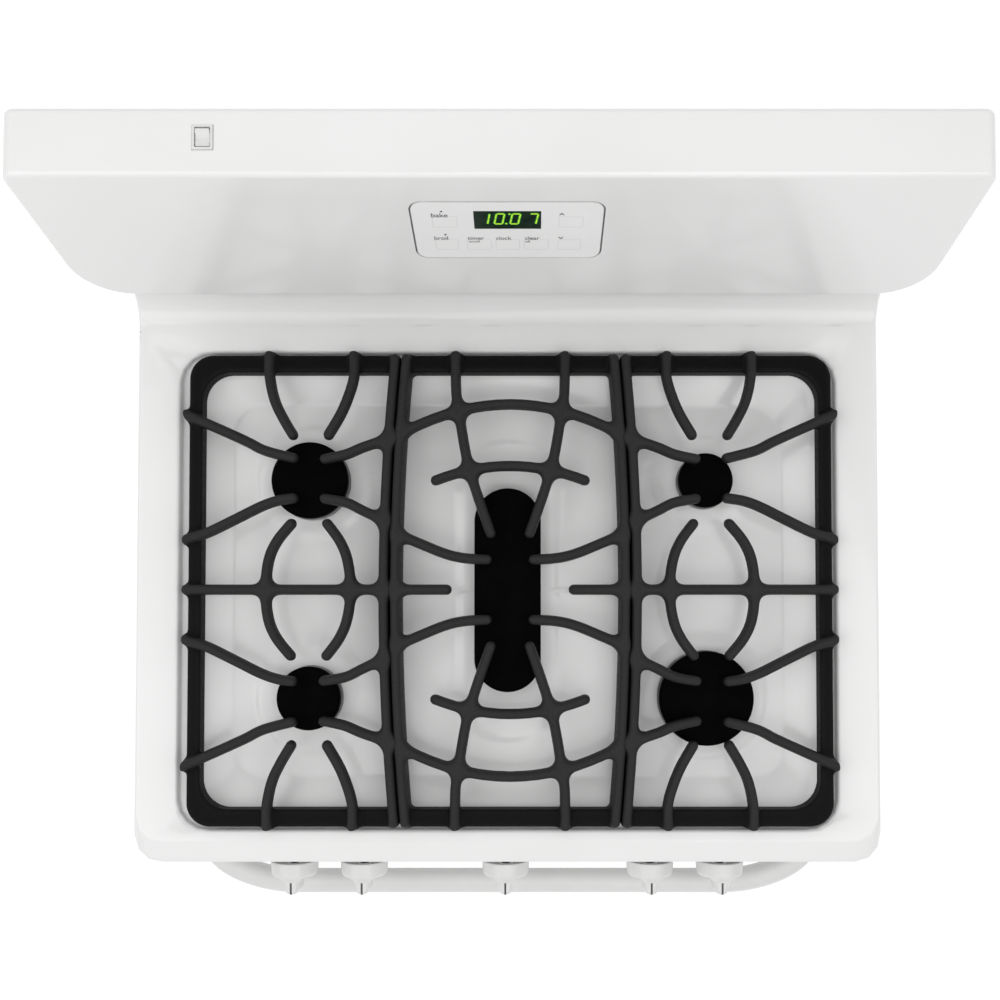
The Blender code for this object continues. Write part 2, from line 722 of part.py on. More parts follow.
def console_shell():
    """Wide console with a sloping face, large lower corners and an open rear."""
    bm = box_form((-HALF, FACE_BOTTOM.y, FACE_BOTTOM.z), (HALF, 0.3515, TOP_Z))
    slope = (FACE_TOP.y - FACE_BOTTOM.y) / (FACE_TOP.z - FACE_BOTTOM.z)
    for vert in bm.verts:
        if vert.co.y < 0.3 and vert.co.z > 1.1:
            vert.co.y = FACE_TOP.y + slope * (TOP_Z - FACE_TOP.z)
    rear = [face for face in bm.faces if face.normal.y > 0.9]
    bmesh.ops.delete(bm, geom=rear, context="FACES")
    for above, radius, steps in ((False, CONSOLE_CORNER, 6), (True, 0.010, 3)):
        corners = [edge for edge in bm.edges if lies_front_to_back(edge, above)]
        bmesh.ops.bevel(bm, geom=corners, offset=radius, segments=steps, profile=0.5, affect="EDGES")
    rim = [edge for edge in bm.edges if is_face_rim(edge)]
    bmesh.ops.bevel(bm, geom=rim, offset=0.006, segments=2, profile=0.5, affect="EDGES")
    bmesh.ops.recalc_face_normals(bm, faces=bm.faces)
    mesh = bpy.data.meshes.new("console_shell")
    bm.to_mesh(mesh)
    bm.free()
    console = add("console_shell", mesh, WHITE)
    thicken(console, 0.0015)
    size = Vector((PANEL_SIZE[0] + 2 * GAP, 0.012, PANEL_SIZE[1] + 2 * GAP))
    cut(console, face_plate("panel_window", PANEL_CENTRE, size, 0.0))
    low = (SWITCH_X - 0.0083, SWITCH_Y - 0.0098, TOP_Z - 0.01)
    cut_box(console, low, (SWITCH_X + 0.0083, SWITCH_Y + 0.0098, TOP_Z + 0.01))


def lies_front_to_back(edge, above):
    first, second = (vert.co for vert in edge.verts)
    level = abs(first.z - second.z) < 0.001 and abs(first.x - second.x) < 0.001
    high = first.z > (TOP_Z + FACE_BOTTOM.z) / 2
    return level and high == above and abs(first.y - second.y) > 0.01


def is_face_rim(edge):
    if len(edge.link_faces) != 2:
        return False
    on_face = [face.normal.y < -0.9 and face.calc_area() > 0.02 for face in edge.link_faces]
    return on_face.count(True) == 1


def face_plate(name, along, size, lift, look=None):
    """A plate that lies parallel to the console's sloping face, size in face axes."""
    low = Vector((-size[0] / 2, -size[1] / 2, -size[2] / 2))
    plate = box(name, low, -low, look)
    turn = Matrix.Rotation(face_turn(), 4, "X")
    plate.data.transform(Matrix.Translation(face_point(along, PANEL_X, lift)) @ turn)
    return plate


def controls():
    thick = 0.0025
    overlay_size = (PANEL_SIZE[0], thick, PANEL_SIZE[1])
    overlay = face_plate("control_overlay", PANEL_CENTRE, overlay_size, 0.0005 - thick / 2, WHITE)
    window = (DISPLAY_SIZE[0] + 2 * GAP, 0.012, DISPLAY_SIZE[1] + 2 * GAP)
    cut(overlay, face_plate("display_hole", DISPLAY_CENTRE, window, 0.0))
    glass_size = (DISPLAY_SIZE[0], 0.002, DISPLAY_SIZE[1])
    face_plate("display_window", DISPLAY_CENTRE, glass_size, -0.001, GLASS)
    board = face_plate("control_board", PANEL_CENTRE, (0.140, 0.0016, 0.060), -0.016, BOARD)
    for along, x, size in ((0.36, 0.035, (0.030, 0.012, 0.016)), (0.42, -0.040, (0.020, 0.014, 0.020))):
        block = face_plate("board_block", along, size, -0.016 - size[1] / 2)
        block.data.transform(Matrix.Translation((x, 0, 0)))
        join(board, block)


def light_switch():
    """Rocker switch for the oven lamp: a framed housing and the rocker on its pivot."""
    low = Vector((SWITCH_X - 0.008, SWITCH_Y - 0.0095, TOP_Z - 0.022))
    high = Vector((SWITCH_X + 0.008, SWITCH_Y + 0.0095, TOP_Z + 0.0008))
    housing = box("light_switch_housing", low, high, PLASTIC)
    wall = Vector((0.0018, 0.0018, 0.006))
    cut_box(housing, low + wall, (high.x - wall.x, high.y - wall.y, TOP_Z + 0.006))
    pivot = Vector((SWITCH_X, SWITCH_Y, TOP_Z - 0.002))
    outline = [(-0.0066, 0.0036), (-0.0035, 0.0019), (0.0, 0.0014), (0.0035, 0.0019), (0.0066, 0.0036)]
    outline += [(0.0058, -0.0010), (0.0020, -0.0055), (-0.0020, -0.0055), (-0.0058, -0.0010)]
    turn = Matrix.Rotation(ROCKER_TILT, 2)
    profile = [turn @ Vector(point) + pivot.yz for point in reversed(outline)]
    rocker = side_outline("light_switch_rocker", profile, SWITCH_X - 0.0058, SWITCH_X + 0.0058, PLASTIC)
    set_origin(rocker, pivot)


# ---------------------------------------------------------------- valves and knobs

def gas_manifold():
    """Supply pipe from the regulator, along the side and across behind the valve panel."""
    rear = REGULATOR.y
    path = [(-0.255, MANIFOLD_Y, KNOB_Z), (0.290, MANIFOLD_Y, KNOB_Z)]
    path += [(x, y, KNOB_Z) for x, y in arc((0.290, MANIFOLD_Y + 0.032), 0.032, -60, 0, 2)]
    path += [(REGULATOR.x, rear - 0.028, KNOB_Z), (REGULATOR.x, rear - 0.008, KNOB_Z - 0.008)]
    path += [(REGULATOR.x, rear, KNOB_Z - 0.028), (REGULATOR.x, rear, REGULATOR.z + 0.030)]
    pipe = tube("gas_manifold", path, 0.010, STEEL, resolution=2)
    for x in KNOB_XS:
        middle = (MANIFOLD_Y + STEM_BACK + GAP) / 2
        length = MANIFOLD_Y - STEM_BACK - GAP
        join(pipe, cylinder("valve_body", (x, middle, KNOB_Z), (0, 1, 0), 0.0125, length, None, 12))


def pressure_regulator():
    centre = REGULATOR
    body = cylinder("pressure_regulator", centre, (0, 0, 1), 0.022, 0.0585, ALUMINIUM, 16)
    dome_centre = centre - Vector((0.028, 0, 0))
    join(body, cylinder("regulator_dome", dome_centre, (1, 0, 0), 0.017, 0.030, None, 16))
    join(body, cylinder("inlet", centre + Vector((0, 0.026, -0.010)), (0, 1, 0), 0.011, 0.036, None, 6))
    cut_round(body, centre + Vector((0, 0.044, -0.010)), (0, 1, 0), 0.006, 0.024, 12)


def valve_stem(name, x):
    front = KNOB_BACK - 0.0125
    middle = (x, (STEM_BACK + front) / 2, KNOB_Z)
    length = STEM_BACK - front
    stem = cylinder("valve_stem_" + name, middle, (0, 1, 0), STEM_RADIUS, length, STEEL, 12)
    cut_box(stem, (x - 0.01, front - 0.01, KNOB_Z + 0.0025), (x + 0.01, KNOB_BACK - 0.002, KNOB_Z + 0.01))
    bake_at(stem, (x, STEM_BACK, KNOB_Z))


def knob(name, x):
    """Hollow skirt, a hub that takes the stem, and an upright grip blade."""
    profile = ((0.0, 0.0175), (0.0195, 0.0168), (0.0225, 0.0140), (KNOB_RADIUS, 0.0), (0.0230, 0.0))
    profile += ((0.0205, 0.0120), (0.0078, 0.0120), (0.0078, 0.0030))
    profile += ((0.0047, 0.0030), (0.0047, 0.0165), (0.0, 0.0165))
    made = turned("knob_" + name, profile, (0, 0, 0), PLASTIC, 16)
    made.rotation_euler.x = math.radians(90)
    made.location = (x, KNOB_BACK, KNOB_Z)
    low = (x - 0.0072, KNOB_BACK - KNOB_DEPTH, KNOB_Z - 0.019)
    blade = box("blade", low, (x + 0.0072, KNOB_BACK - 0.0168, KNOB_Z + 0.019))
    round_edges(blade, 0.004)
    join(made, blade)
    bake_at(made, (x, KNOB_BACK, KNOB_Z))


# ---------------------------------------------------------------- oven

def oven_liner():
    """Five-sided enamelled box with a face flange, and pairs of guides that carry the racks."""
    low = (-CAVITY_X - 0.0015, FLANGE_Y - 0.0008, CAVITY_Z[0] - 0.0015)
    high = (CAVITY_X + 0.0015, CAVITY_BACK + 0.0015, CAVITY_Z[1] + 0.0015)
    liner = box("oven_liner", low, high, DARK_ENAMEL)
    plate_z = (0.222, 0.792)
    join(liner, box("face_flange", (-0.3665, FLANGE_Y, plate_z[0]), (0.3665, FLANGE_Y + SHEET, plate_z[1])))
    inner = (CAVITY_X, CAVITY_BACK, CAVITY_Z[1])
    cut_box(liner, (-CAVITY_X, FLANGE_Y - 0.02, CAVITY_Z[0]), inner)
    for sign in (-1, 1):
        arm = sign * HINGE_X
        slot_low = (arm - 0.0035, FLANGE_Y - 0.01, HINGE_Z - 0.008)
        cut_box(liner, slot_low, (arm + 0.0035, FLANGE_Y + 0.01, HINGE_Z + 0.008))
        for height in RACK_ZS:
            ends = sorted((sign * (CAVITY_X + 0.0005), sign * (RACK_HALF_X - 0.006)))
            top = height - 0.003 - GAP
            join(liner, box("guide", (ends[0], -0.200, top - 0.006), (ends[1], CAVITY_BACK - 0.020, top)))


def oven_floor():
    low = (-0.3045, -0.236, OVEN_FLOOR_Z)
    plate = box("oven_floor_panel", low, (0.3045, 0.2345, OVEN_FLOOR_Z + SHEET), DARK_ENAMEL)
    for sign in (-1, 1):
        for step in range(5):
            y = -0.16 + 0.08 * step
            cut_box(plate, (sign * 0.265 - 0.020, y - 0.005, 0.31), (sign * 0.265 + 0.020, y + 0.005, 0.33))


def burner_tube(name, height, spread, front):
    """A gas burner tube bent into a long U."""
    bend = [(x, y, height) for x, y in arc((0, front), spread, 0, -180, 6)]
    path = [(spread, CAVITY_BACK - 0.001, height)] + bend + [(-spread, 0.190, height)]
    tube(name, path, 0.008, STEEL, resolution=2)


def oven_lamp():
    centre = (-0.210, CAVITY_BACK - 0.010, 0.640)
    lamp = cylinder("oven_lamp", centre, (0, 1, 0), 0.026, 0.019, GLASS, 20)
    round_edges(lamp, 0.004)


def oven_rack(name, height):
    """Bent wire frame with rods front to back, in one level plane."""
    wire = 0.003
    corners = rounded_rectangle(RACK_HALF_X, (RACK_Y[1] - RACK_Y[0]) / 2, 0.020, 2)
    middle = (RACK_Y[0] + RACK_Y[1]) / 2
    path = [(x, y + middle, height) for x, y in corners]
    rack = tube("oven_rack_" + name, path, wire, STEEL, closed=True)
    for step in range(11):
        x = (step - 5) * 0.050
        rod = [(x, RACK_Y[0], height + 0.0004), (x, RACK_Y[1], height + 0.0004)]
        join(rack, tube("rod", rod, 0.0022))
    bake_at(rack, (0, middle, height))


# ---------------------------------------------------------------- door

def door():
    window_z = (0.385, 0.650)
    window_x = 0.250
    low = (-DOOR_HALF_X, DOOR_FRONT, DOOR_Z[0])
    high = (DOOR_HALF_X, DOOR_BACK - 0.0045, DOOR_Z[1])
    outer = shell("door_outer_panel", low, high, (0, 1, 0), SHEET, 0.006, WHITE)
    cut_box(outer, (-window_x, DOOR_FRONT - 0.01, window_z[0]), (window_x, DOOR_FRONT + 0.01, window_z[1]))
    pane_low = (-window_x + GAP, DOOR_FRONT + 0.0004, window_z[0] + GAP)
    box("door_outer_glass", pane_low, (window_x - GAP, DOOR_FRONT + 0.0044, window_z[1] - GAP), GLASS)
    inset = 0.003
    liner_low = (-DOOR_HALF_X + inset, DOOR_BACK - 0.0040, DOOR_Z[0] + inset)
    liner_high = (DOOR_HALF_X - inset, DOOR_BACK, DOOR_Z[1] - inset)
    liner = shell("door_liner", liner_low, liner_high, (0, -1, 0), SHEET, 0, DARK_ENAMEL)
    cut_box(liner, (-0.205, DOOR_BACK - 0.02, 0.415), (0.205, DOOR_BACK + 0.02, 0.625))
    pane_low = (-0.2047, DOOR_BACK - 0.0045, 0.4153)
    box("door_inner_glass", pane_low, (0.2047, DOOR_BACK - 0.0005, 0.6247), GLASS)
    for sign in (-1, 1):
        arm = sign * HINGE_X
        for panel in (outer, liner):
            notch_low = (arm - 0.004, HINGE_Y - 0.009, 0.20)
            cut_box(panel, notch_low, (arm + 0.004, DOOR_BACK + 0.01, HINGE_Z + 0.009))
    for piece in (outer, liner):
        bake_at(piece, (0, HINGE_Y, HINGE_Z))
    for name in ("door_outer_glass", "door_inner_glass"):
        set_origin(bpy.data.objects[name], (0, HINGE_Y, HINGE_Z))


def door_handle():
    """Bow handle: a level bar that sweeps back into the door at both ends."""
    section = oval_section("handle_section", *HANDLE_SECTION)
    curve = bpy.data.curves.new("door_handle", "CURVE")
    curve.dimensions = "3D"
    curve.twist_mode = "Z_UP"
    curve.resolution_u = 7
    curve.bevel_mode = "OBJECT"
    curve.bevel_object = section
    curve.use_fill_caps = True
    middle_y = HANDLE_FRONT + HANDLE_SECTION[0] / 2
    door_y = DOOR_FRONT - GAP
    spline = curve.splines.new("BEZIER")
    spline.bezier_points.add(3)
    knots = ((-0.350, door_y), (-0.245, middle_y), (0.245, middle_y), (0.350, door_y))
    reaches = ((0, -0.026), (0.050, 0.0), (0.050, 0.0), (0, 0.026))
    for knot, (x, y), (reach_x, reach_y) in zip(spline.bezier_points, knots, reaches):
        knot.co = (x, y, HANDLE_Z)
        knot.handle_right = (x + reach_x, y + reach_y, HANDLE_Z)
        knot.handle_left = (x - reach_x, y - reach_y, HANDLE_Z)
    guide = bpy.data.objects.new("handle_path", curve)
    CUTTERS.objects.link(guide)
    handle = curve_to_mesh(guide, "door_handle", WHITE)
    bpy.data.objects.remove(section, do_unlink=True)
    set_origin(handle, (0, HINGE_Y, HINGE_Z))


def door_gasket():
    middle_z = (CAVITY_Z[0] + CAVITY_Z[1]) / 2
    outline = rounded_rectangle(CAVITY_X + 0.014, (CAVITY_Z[1] - CAVITY_Z[0]) / 2 + 0.014, 0.030, 3)
    path = [(x, -0.2477, z + middle_z) for x, z in outline]
    tube("door_gasket", path, 0.0045, SEAL, closed=True)


def hinge_arm(side, sign):
    """Arm hooked into the body frame, with the pin that the door turns on."""
    x = sign * HINGE_X
    low = (x - 0.0025, HINGE_Y, HINGE_Z - 0.006)
    arm = box("door_hinge_" + side, low, (x + 0.0025, -0.222, HINGE_Z + 0.006), STEEL)
    join(arm, cylinder("eye", (x, HINGE_Y, HINGE_Z), (1, 0, 0), 0.0058, 0.0048, None, 16))
    join(arm, cylinder("pin", (x, HINGE_Y, HINGE_Z), (1, 0, 0), 0.0030, 0.0068, None, 12))
    join(arm, box("hook", (x - 0.0024, -0.232, HINGE_Z - 0.014), (x + 0.0024, -0.2225, HINGE_Z)))


# ---------------------------------------------------------------- drawer

def drawer():
    low = (-DOOR_HALF_X, DRAWER_FRONT, DRAWER_Z[0])
    high = (DOOR_HALF_X, DRAWER_BACK, DRAWER_Z[1])
    front = shell("drawer_front", low, high, (0, 1, 0), SHEET, 0.006, WHITE)
    bake_at(front, (0, DRAWER_BACK, DRAWER_Z[0]))
    box_low = (-BOX_HALF_X, DRAWER_BACK + GAP, BOX_Z[0])
    tray = shell("drawer_box", box_low, (BOX_HALF_X, 0.200, BOX_Z[1]), (0, 0, 1), SHEET, 0, STEEL)
    for sign in (-1, 1):
        ends = sorted((sign * (BOX_HALF_X - 0.0008), sign * 0.3475))
        runner_z = RAIL_Z + SHEET + GAP
        join(tray, box("runner", (ends[0], -0.225, runner_z), (ends[1], 0.1995, runner_z + SHEET)))
    bake_at(tray, (0, DRAWER_BACK, BOX_Z[0]))


def build():
    side_panel("left", -1)
    side_panel("right", 1)
    base_pan()
    for depth, y in (("front", LEG_FRONT_Y), ("rear", LEG_REAR_Y)):
        levelling_leg(depth + "_left", -LEG_X, y)
        levelling_leg(depth + "_right", LEG_X, y)
    back_panel()
    valve_panel()
    cooktop()
    for burner in ROUND_BURNERS:
        round_burner(*burner)
    oval_burner()
    side_grate("left", -1)
    side_grate("right", 1)
    middle_grate()
    backguard_riser()
    console_shell()
    box("rear_cover", (-0.376, 0.3518, 0.8900), (0.376, Y_BACK, 1.185), STEEL)
    controls()
    light_switch()
    gas_manifold()
    pressure_regulator()
    for name, x in zip(KNOB_NAMES, KNOB_XS):
        valve_stem(name, x)
        knob(name, x)
    oven_liner()
    oven_floor()
    burner_tube("bake_burner", 0.300, 0.050, -0.150)
    burner_tube("broil_burner", 0.698, 0.055, -0.120)
    oven_lamp()
    for name, height in zip(RACK_NAMES, RACK_ZS):
        oven_rack(name, height)
    door()
    door_handle()
    door_gasket()
    hinge_arm("left", -1)
    hinge_arm("right", 1)
    drawer()


build()
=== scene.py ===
"""Looks of a freestanding gas range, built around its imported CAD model."""

import itertools
import math

import bmesh
import bpy
import numpy as np
from mathutils import Matrix, Vector


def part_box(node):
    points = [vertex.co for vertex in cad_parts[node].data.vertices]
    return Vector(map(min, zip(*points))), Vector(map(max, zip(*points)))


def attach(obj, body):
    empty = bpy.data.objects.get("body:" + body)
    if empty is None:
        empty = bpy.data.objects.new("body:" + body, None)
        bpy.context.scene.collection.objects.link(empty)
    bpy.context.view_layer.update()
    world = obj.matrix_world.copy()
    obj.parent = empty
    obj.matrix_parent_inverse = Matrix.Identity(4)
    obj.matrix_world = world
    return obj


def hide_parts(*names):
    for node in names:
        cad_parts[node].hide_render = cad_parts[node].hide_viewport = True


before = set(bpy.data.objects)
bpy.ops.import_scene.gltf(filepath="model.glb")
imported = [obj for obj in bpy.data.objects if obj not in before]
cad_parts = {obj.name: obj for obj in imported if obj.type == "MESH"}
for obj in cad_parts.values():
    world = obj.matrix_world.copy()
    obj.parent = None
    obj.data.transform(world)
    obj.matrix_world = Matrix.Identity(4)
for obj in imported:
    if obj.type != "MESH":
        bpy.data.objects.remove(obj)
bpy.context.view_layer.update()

# Sizes shared with the CAD, in metres
HALF = 0.3795
COOKTOP_Z = 0.914
TOP_Z = 1.194
WELL_Y = -0.0100
GRATE_X = 0.003
FLOOR_Z = 0.892
LEDGE_Z = 0.906
HEAD_TOP = 0.9055
SEAT_Z = 0.9035
CAP_TOP = 0.9145
FACE_TOP = Vector((0.0, 0.2965, 1.188))
FACE_BOTTOM = Vector((0.0, 0.2567, 1.035))
PANEL_X = 0.005
KNOB_Z = 0.857
KNOB_BACK = -0.295
STUB_RADIUS = 0.015
BURNERS = (
    ("left_rear", -0.2024, 0.1122, 0.0391),
    ("left_front", -0.2024, -0.1104, 0.0324),
    ("right_rear", 0.2024, 0.1122, 0.0278),
    ("right_front", 0.2024, -0.1104, 0.0480),
)
OVAL = (0.0339, 0.104)
KNOBS = ("left_front", "left_rear", "centre", "right_rear", "right_front")


# ---------------------------------------------------------------- materials

def shader_node(tree, kind, **values):
    made = tree.nodes.new(kind)
    for key, value in values.items():
        if key in made.inputs:
            made.inputs[key].default_value = value
        else:
            setattr(made, key, value)
    return made


def ramp(tree, source, stops):
    """A colour ramp fed by a number; stops are (place, colour)."""
    made = tree.nodes.new("ShaderNodeValToRGB")
    elements = made.color_ramp.elements
    while len(elements) < len(stops):
        elements.new(0.5)
    for element, (place, colour) in zip(elements, stops):
        element.position = place
        element.color = (*colour, 1.0)
    tree.links.new(source, made.inputs["Fac"])
    return made.outputs["Color"]


def coordinates(tree, stretch=(1.0, 1.0, 1.0)):
    place = tree.nodes.new("ShaderNodeTexCoord")
    mapping = tree.nodes.new("ShaderNodeMapping")
    mapping.inputs["Scale"].default_value = stretch
    tree.links.new(place.outputs["Object"], mapping.inputs["Vector"])
    return mapping.outputs["Vector"]


def noise(tree, vector, scale, detail=3.0):
    made = shader_node(tree, "ShaderNodeTexNoise", Scale=scale, Detail=detail)
    tree.links.new(vector, made.inputs["Vector"])
    return made.outputs["Fac"]


def cells(tree, vector, scale, output="Distance"):
    made = shader_node(tree, "ShaderNodeTexVoronoi", Scale=scale)
    tree.links.new(vector, made.inputs["Vector"])
    return made.outputs[output]


def tint(tree, shader, socket, source, *stops):
    """Drive a shader's socket from a number, through a ramp."""
    tree.links.new(ramp(tree, source, stops), shader.inputs[socket])


def grain(tree, shader, height, strength, distance):
    """A fine relief on the shader's normal."""
    made = shader_node(tree, "ShaderNodeBump", Strength=strength, Distance=distance)
    tree.links.new(height, made.inputs["Height"])
    tree.links.new(made.outputs["Normal"], shader.inputs["Normal"])


def grey(value):
    return (value, value, value)


def new_material(name, **values):
    """A node material; its constants go straight onto the Principled shader's sockets."""
    made = bpy.data.materials.new(name)
    made.use_nodes = True
    tree = made.node_tree
    shader = tree.nodes["Principled BSDF"]
    for key, value in values.items():
        shader.inputs[key.replace("_", " ")].default_value = value
    return made, tree, shader


def surface(name, low, high, scale, rough, relief=(300.0, 0.05, 0.0002), stretch=(1, 1, 1), **values):
    """Colour that wanders between two tones, roughness that wanders too, and a fine grain."""
    made, tree, shader = new_material(name, **values)
    where = coordinates(tree, stretch)
    drift = noise(tree, where, scale)
    tint(tree, shader, "Base Color", drift, (0.35, low), (0.65, high))
    smooth, dull = grey(rough[0]), grey(rough[1])
    tint(tree, shader, "Roughness", noise(tree, where, scale * 3.1), (0.3, smooth), (0.7, dull))
    grain(tree, shader, noise(tree, where, relief[0], 5.0), *relief[1:])
    return made


def enamel():
    return surface("white_enamel", (0.800, 0.800, 0.794), (0.822, 0.822, 0.818), 6.0, (0.17, 0.24),
                   (140.0, 0.035, 0.0003), Coat_Weight=0.4, Coat_Roughness=0.06)


def cast_iron():
    """Black coat over a casting: speckles and a rough grain. The raised ribs are painted paler than the lower
    frame as a painted highlight; edges are paler too, partly real wear and partly painted highlight.
    """
    made, tree, shader = new_material("cast_iron", Specular_IOR_Level=0.09)
    where = coordinates(tree)
    speck = noise(tree, where, 1400.0, 4.0)
    deep = ramp(tree, speck, ((0.30, grey(0.0015)), (0.62, grey(0.0030)), (0.85, grey(0.012))))
    # Pale tone: used for the painted highlight on the ribs and for the paler worn edges.
    pale = ramp(tree, speck, ((0.30, grey(0.020)), (0.62, grey(0.030)), (0.85, grey(0.080))))
    parts = tree.nodes.new("ShaderNodeSeparateXYZ")
    tree.links.new(where, parts.inputs["Vector"])
    # Painted highlight: everything above the frame's height gets the paler tone, for the light the ribs
    # catch.
    rib_highlight = ramp(tree, parts.outputs["Z"], ((0.9262, grey(0.0)), (0.9330, grey(1.0))))
    geometry = tree.nodes.new("ShaderNodeNewGeometry")
    # Paler sharp edges: partly real edge wear, partly painted highlight.
    edge_wear_and_highlight = ramp(tree, geometry.outputs["Pointiness"], ((0.50, grey(0.0)), (0.62, grey(0.6))))
    share = shader_node(tree, "ShaderNodeMath", operation="MAXIMUM")
    mix = shader_node(tree, "ShaderNodeMix", data_type="RGBA", blend_type="MIX")
    for output, socket in ((rib_highlight, share.inputs[0]), (edge_wear_and_highlight, share.inputs[1]),
                           (share.outputs["Value"], mix.inputs["Factor"]), (deep, mix.inputs[6]),
                           (pale, mix.inputs[7]), (mix.outputs[2], shader.inputs["Base Color"])):
        tree.links.new(output, socket)
    tint(tree, shader, "Roughness", noise(tree, where, 500.0), (0.3, grey(0.42)), (0.7, grey(0.62)))
    grain(tree, shader, noise(tree, where, 900.0, 4.0), 0.35, 0.0003)
    return made


def cap_enamel():
    return surface("cap_enamel", grey(0.0009), grey(0.0014), 60.0, (0.50, 0.62),
                   (1200.0, 0.12, 0.0002), Specular_IOR_Level=0.02)


def metal(name, low, high, rough):
    return surface(name, low, high, 120.0, rough, (600.0, 0.10, 0.0002), Metallic=1.0)


def zinc():
    """Galvanised sheet with its faint spangle."""
    made, tree, shader = new_material("zinc_steel", Metallic=1.0)
    where = coordinates(tree)
    spangle = shader_node(tree, "ShaderNodeSeparateColor")
    tree.links.new(cells(tree, where, 90.0, "Color"), spangle.inputs["Color"])
    tint(tree, shader, "Base Color", spangle.outputs[0], (0.0, (0.46, 0.47, 0.48)), (1.0, (0.60, 0.61, 0.62)))
    tint(tree, shader, "Roughness", spangle.outputs[1], (0.0, grey(0.34)), (1.0, grey(0.50)))
    grain(tree, shader, noise(tree, where, 400.0), 0.06, 0.0002)
    return made


def oven_enamel():
    """Dark enamel with the small pale flecks of an oven lining."""
    made, tree, shader = new_material("oven_enamel", Coat_Weight=0.3, Coat_Roughness=0.15)
    where = coordinates(tree)
    tint(tree, shader, "Base Color", cells(tree, where, 420.0),
         (0.10, (0.42, 0.43, 0.45)), (0.16, (0.045, 0.047, 0.055)), (0.9, (0.030, 0.031, 0.037)))
    tint(tree, shader, "Roughness", noise(tree, where, 30.0), (0.3, grey(0.25)), (0.7, grey(0.36)))
    grain(tree, shader, noise(tree, where, 350.0), 0.08, 0.0002)
    return made


def door_glass():
    """Near black glass with a printed dot screen."""
    made, tree, shader = new_material("door_glass", Coat_Weight=0.6, Coat_Roughness=0.02)
    where = coordinates(tree, (1.0, 0.0, 1.0))
    tint(tree, shader, "Base Color", cells(tree, where, 330.0),
         (0.20, (0.022, 0.023, 0.025)), (0.30, (0.004, 0.004, 0.005)))
    tint(tree, shader, "Roughness", noise(tree, where, 4.0), (0.3, grey(0.04)), (0.7, grey(0.08)))
    return made


def woven_seal():
    made, tree, shader = new_material("seal", Roughness=0.9)
    weave = shader_node(tree, "ShaderNodeTexWave", Scale=260.0, Distortion=1.5, Detail=2.0)
    tree.links.new(coordinates(tree), weave.inputs["Vector"])
    tint(tree, shader, "Base Color", weave.outputs["Fac"], (0.2, grey(0.10)), (0.8, (0.26, 0.26, 0.25)))
    grain(tree, shader, weave.outputs["Fac"], 0.8, 0.0006)
    return made


def circuit_board():
    made, tree, shader = new_material("circuit_board", Roughness=0.45)
    bricks = shader_node(tree, "ShaderNodeTexBrick", Scale=160.0, Color1=(0.010, 0.10, 0.035, 1),
                         Color2=(0.014, 0.13, 0.045, 1), Mortar=(0.05, 0.24, 0.10, 1))
    tree.links.new(coordinates(tree), bricks.inputs["Vector"])
    tree.links.new(bricks.outputs["Color"], shader.inputs["Base Color"])
    return made


def glow(name, colour, strength):
    """A lit display segment, a little uneven along its length."""
    made, tree, shader = new_material(name, Roughness=0.4, Emission_Strength=strength)
    shader.inputs["Base Color"].default_value = (0.01, 0.03, 0.01, 1)
    drift = noise(tree, coordinates(tree), 700.0)
    dim = tuple(part * 0.78 for part in colour)
    tint(tree, shader, "Emission Color", drift, (0.35, dim), (0.6, colour))
    return made


LOOKS = {
    "white_enamel": enamel(),
    "iron": cast_iron(),
    "cap_enamel": cap_enamel(),
    "burner_aluminium": metal("burner_aluminium", grey(0.42), grey(0.55), (0.38, 0.55)),
    "zinc_steel": zinc(),
    "oven_enamel": oven_enamel(),
    # Light grey, darker than the enamel: painted shade for the handle and knobs, which sit below the
    # cooktop's front edge; the handle itself is white.
    "knob_plastic": surface("knob_plastic", (0.700, 0.700, 0.694), (0.722, 0.722, 0.716), 40.0, (0.30, 0.38),
                            (1500.0, 0.06, 0.0001), Coat_Weight=0.1),
    "stem_steel": metal("stem_steel", grey(0.08), grey(0.13), (0.35, 0.5)),
    "leg_steel": metal("leg_steel", (0.34, 0.34, 0.36), (0.46, 0.46, 0.47), (0.3, 0.45)),
    "rack_chrome": metal("rack_chrome", (0.62, 0.62, 0.63), (0.74, 0.74, 0.75), (0.10, 0.22)),
    "door_glass": door_glass(),
    "lamp_glass": surface("lamp_glass", (0.70, 0.70, 0.66), (0.80, 0.80, 0.76), 30.0, (0.08, 0.16),
                          (260.0, 0.5, 0.0008), Transmission_Weight=0.5),
    "display_glass": surface("display_glass", (0.008, 0.018, 0.012), (0.016, 0.034, 0.020), 150.0,
                             (0.12, 0.2), (900.0, 0.03, 0.0001)),
    "overlay_film": surface("overlay_film", (0.850, 0.850, 0.846), (0.864, 0.864, 0.860), 30.0, (0.28, 0.36),
                            (1800.0, 0.10, 0.0001)),
    "circuit_board": circuit_board(),
    "seal": woven_seal(),
}
INK = surface("ink", (0.045, 0.045, 0.047), (0.060, 0.060, 0.062), 300.0, (0.4, 0.5))
SHADE = surface("groove_shade", grey(0.30), grey(0.36), 200.0, (0.5, 0.6))
PALE_INK = surface("pale_ink", grey(0.60), grey(0.66), 300.0, (0.4, 0.5))
LIT = glow("lit_segment", (0.66, 0.86, 0.03), 1.15)
HALO = glow("segment_halo", (0.02, 0.42, 0.03), 0.8)


# ---------------------------------------------------------------- building pieces

def linked(name, data):
    made = bpy.data.objects.new(name, data)
    bpy.context.scene.collection.objects.link(made)
    return made


def mesh_of(bm, name):
    mesh = bpy.data.meshes.new(name)
    bm.to_mesh(mesh)
    bm.free()
    return mesh


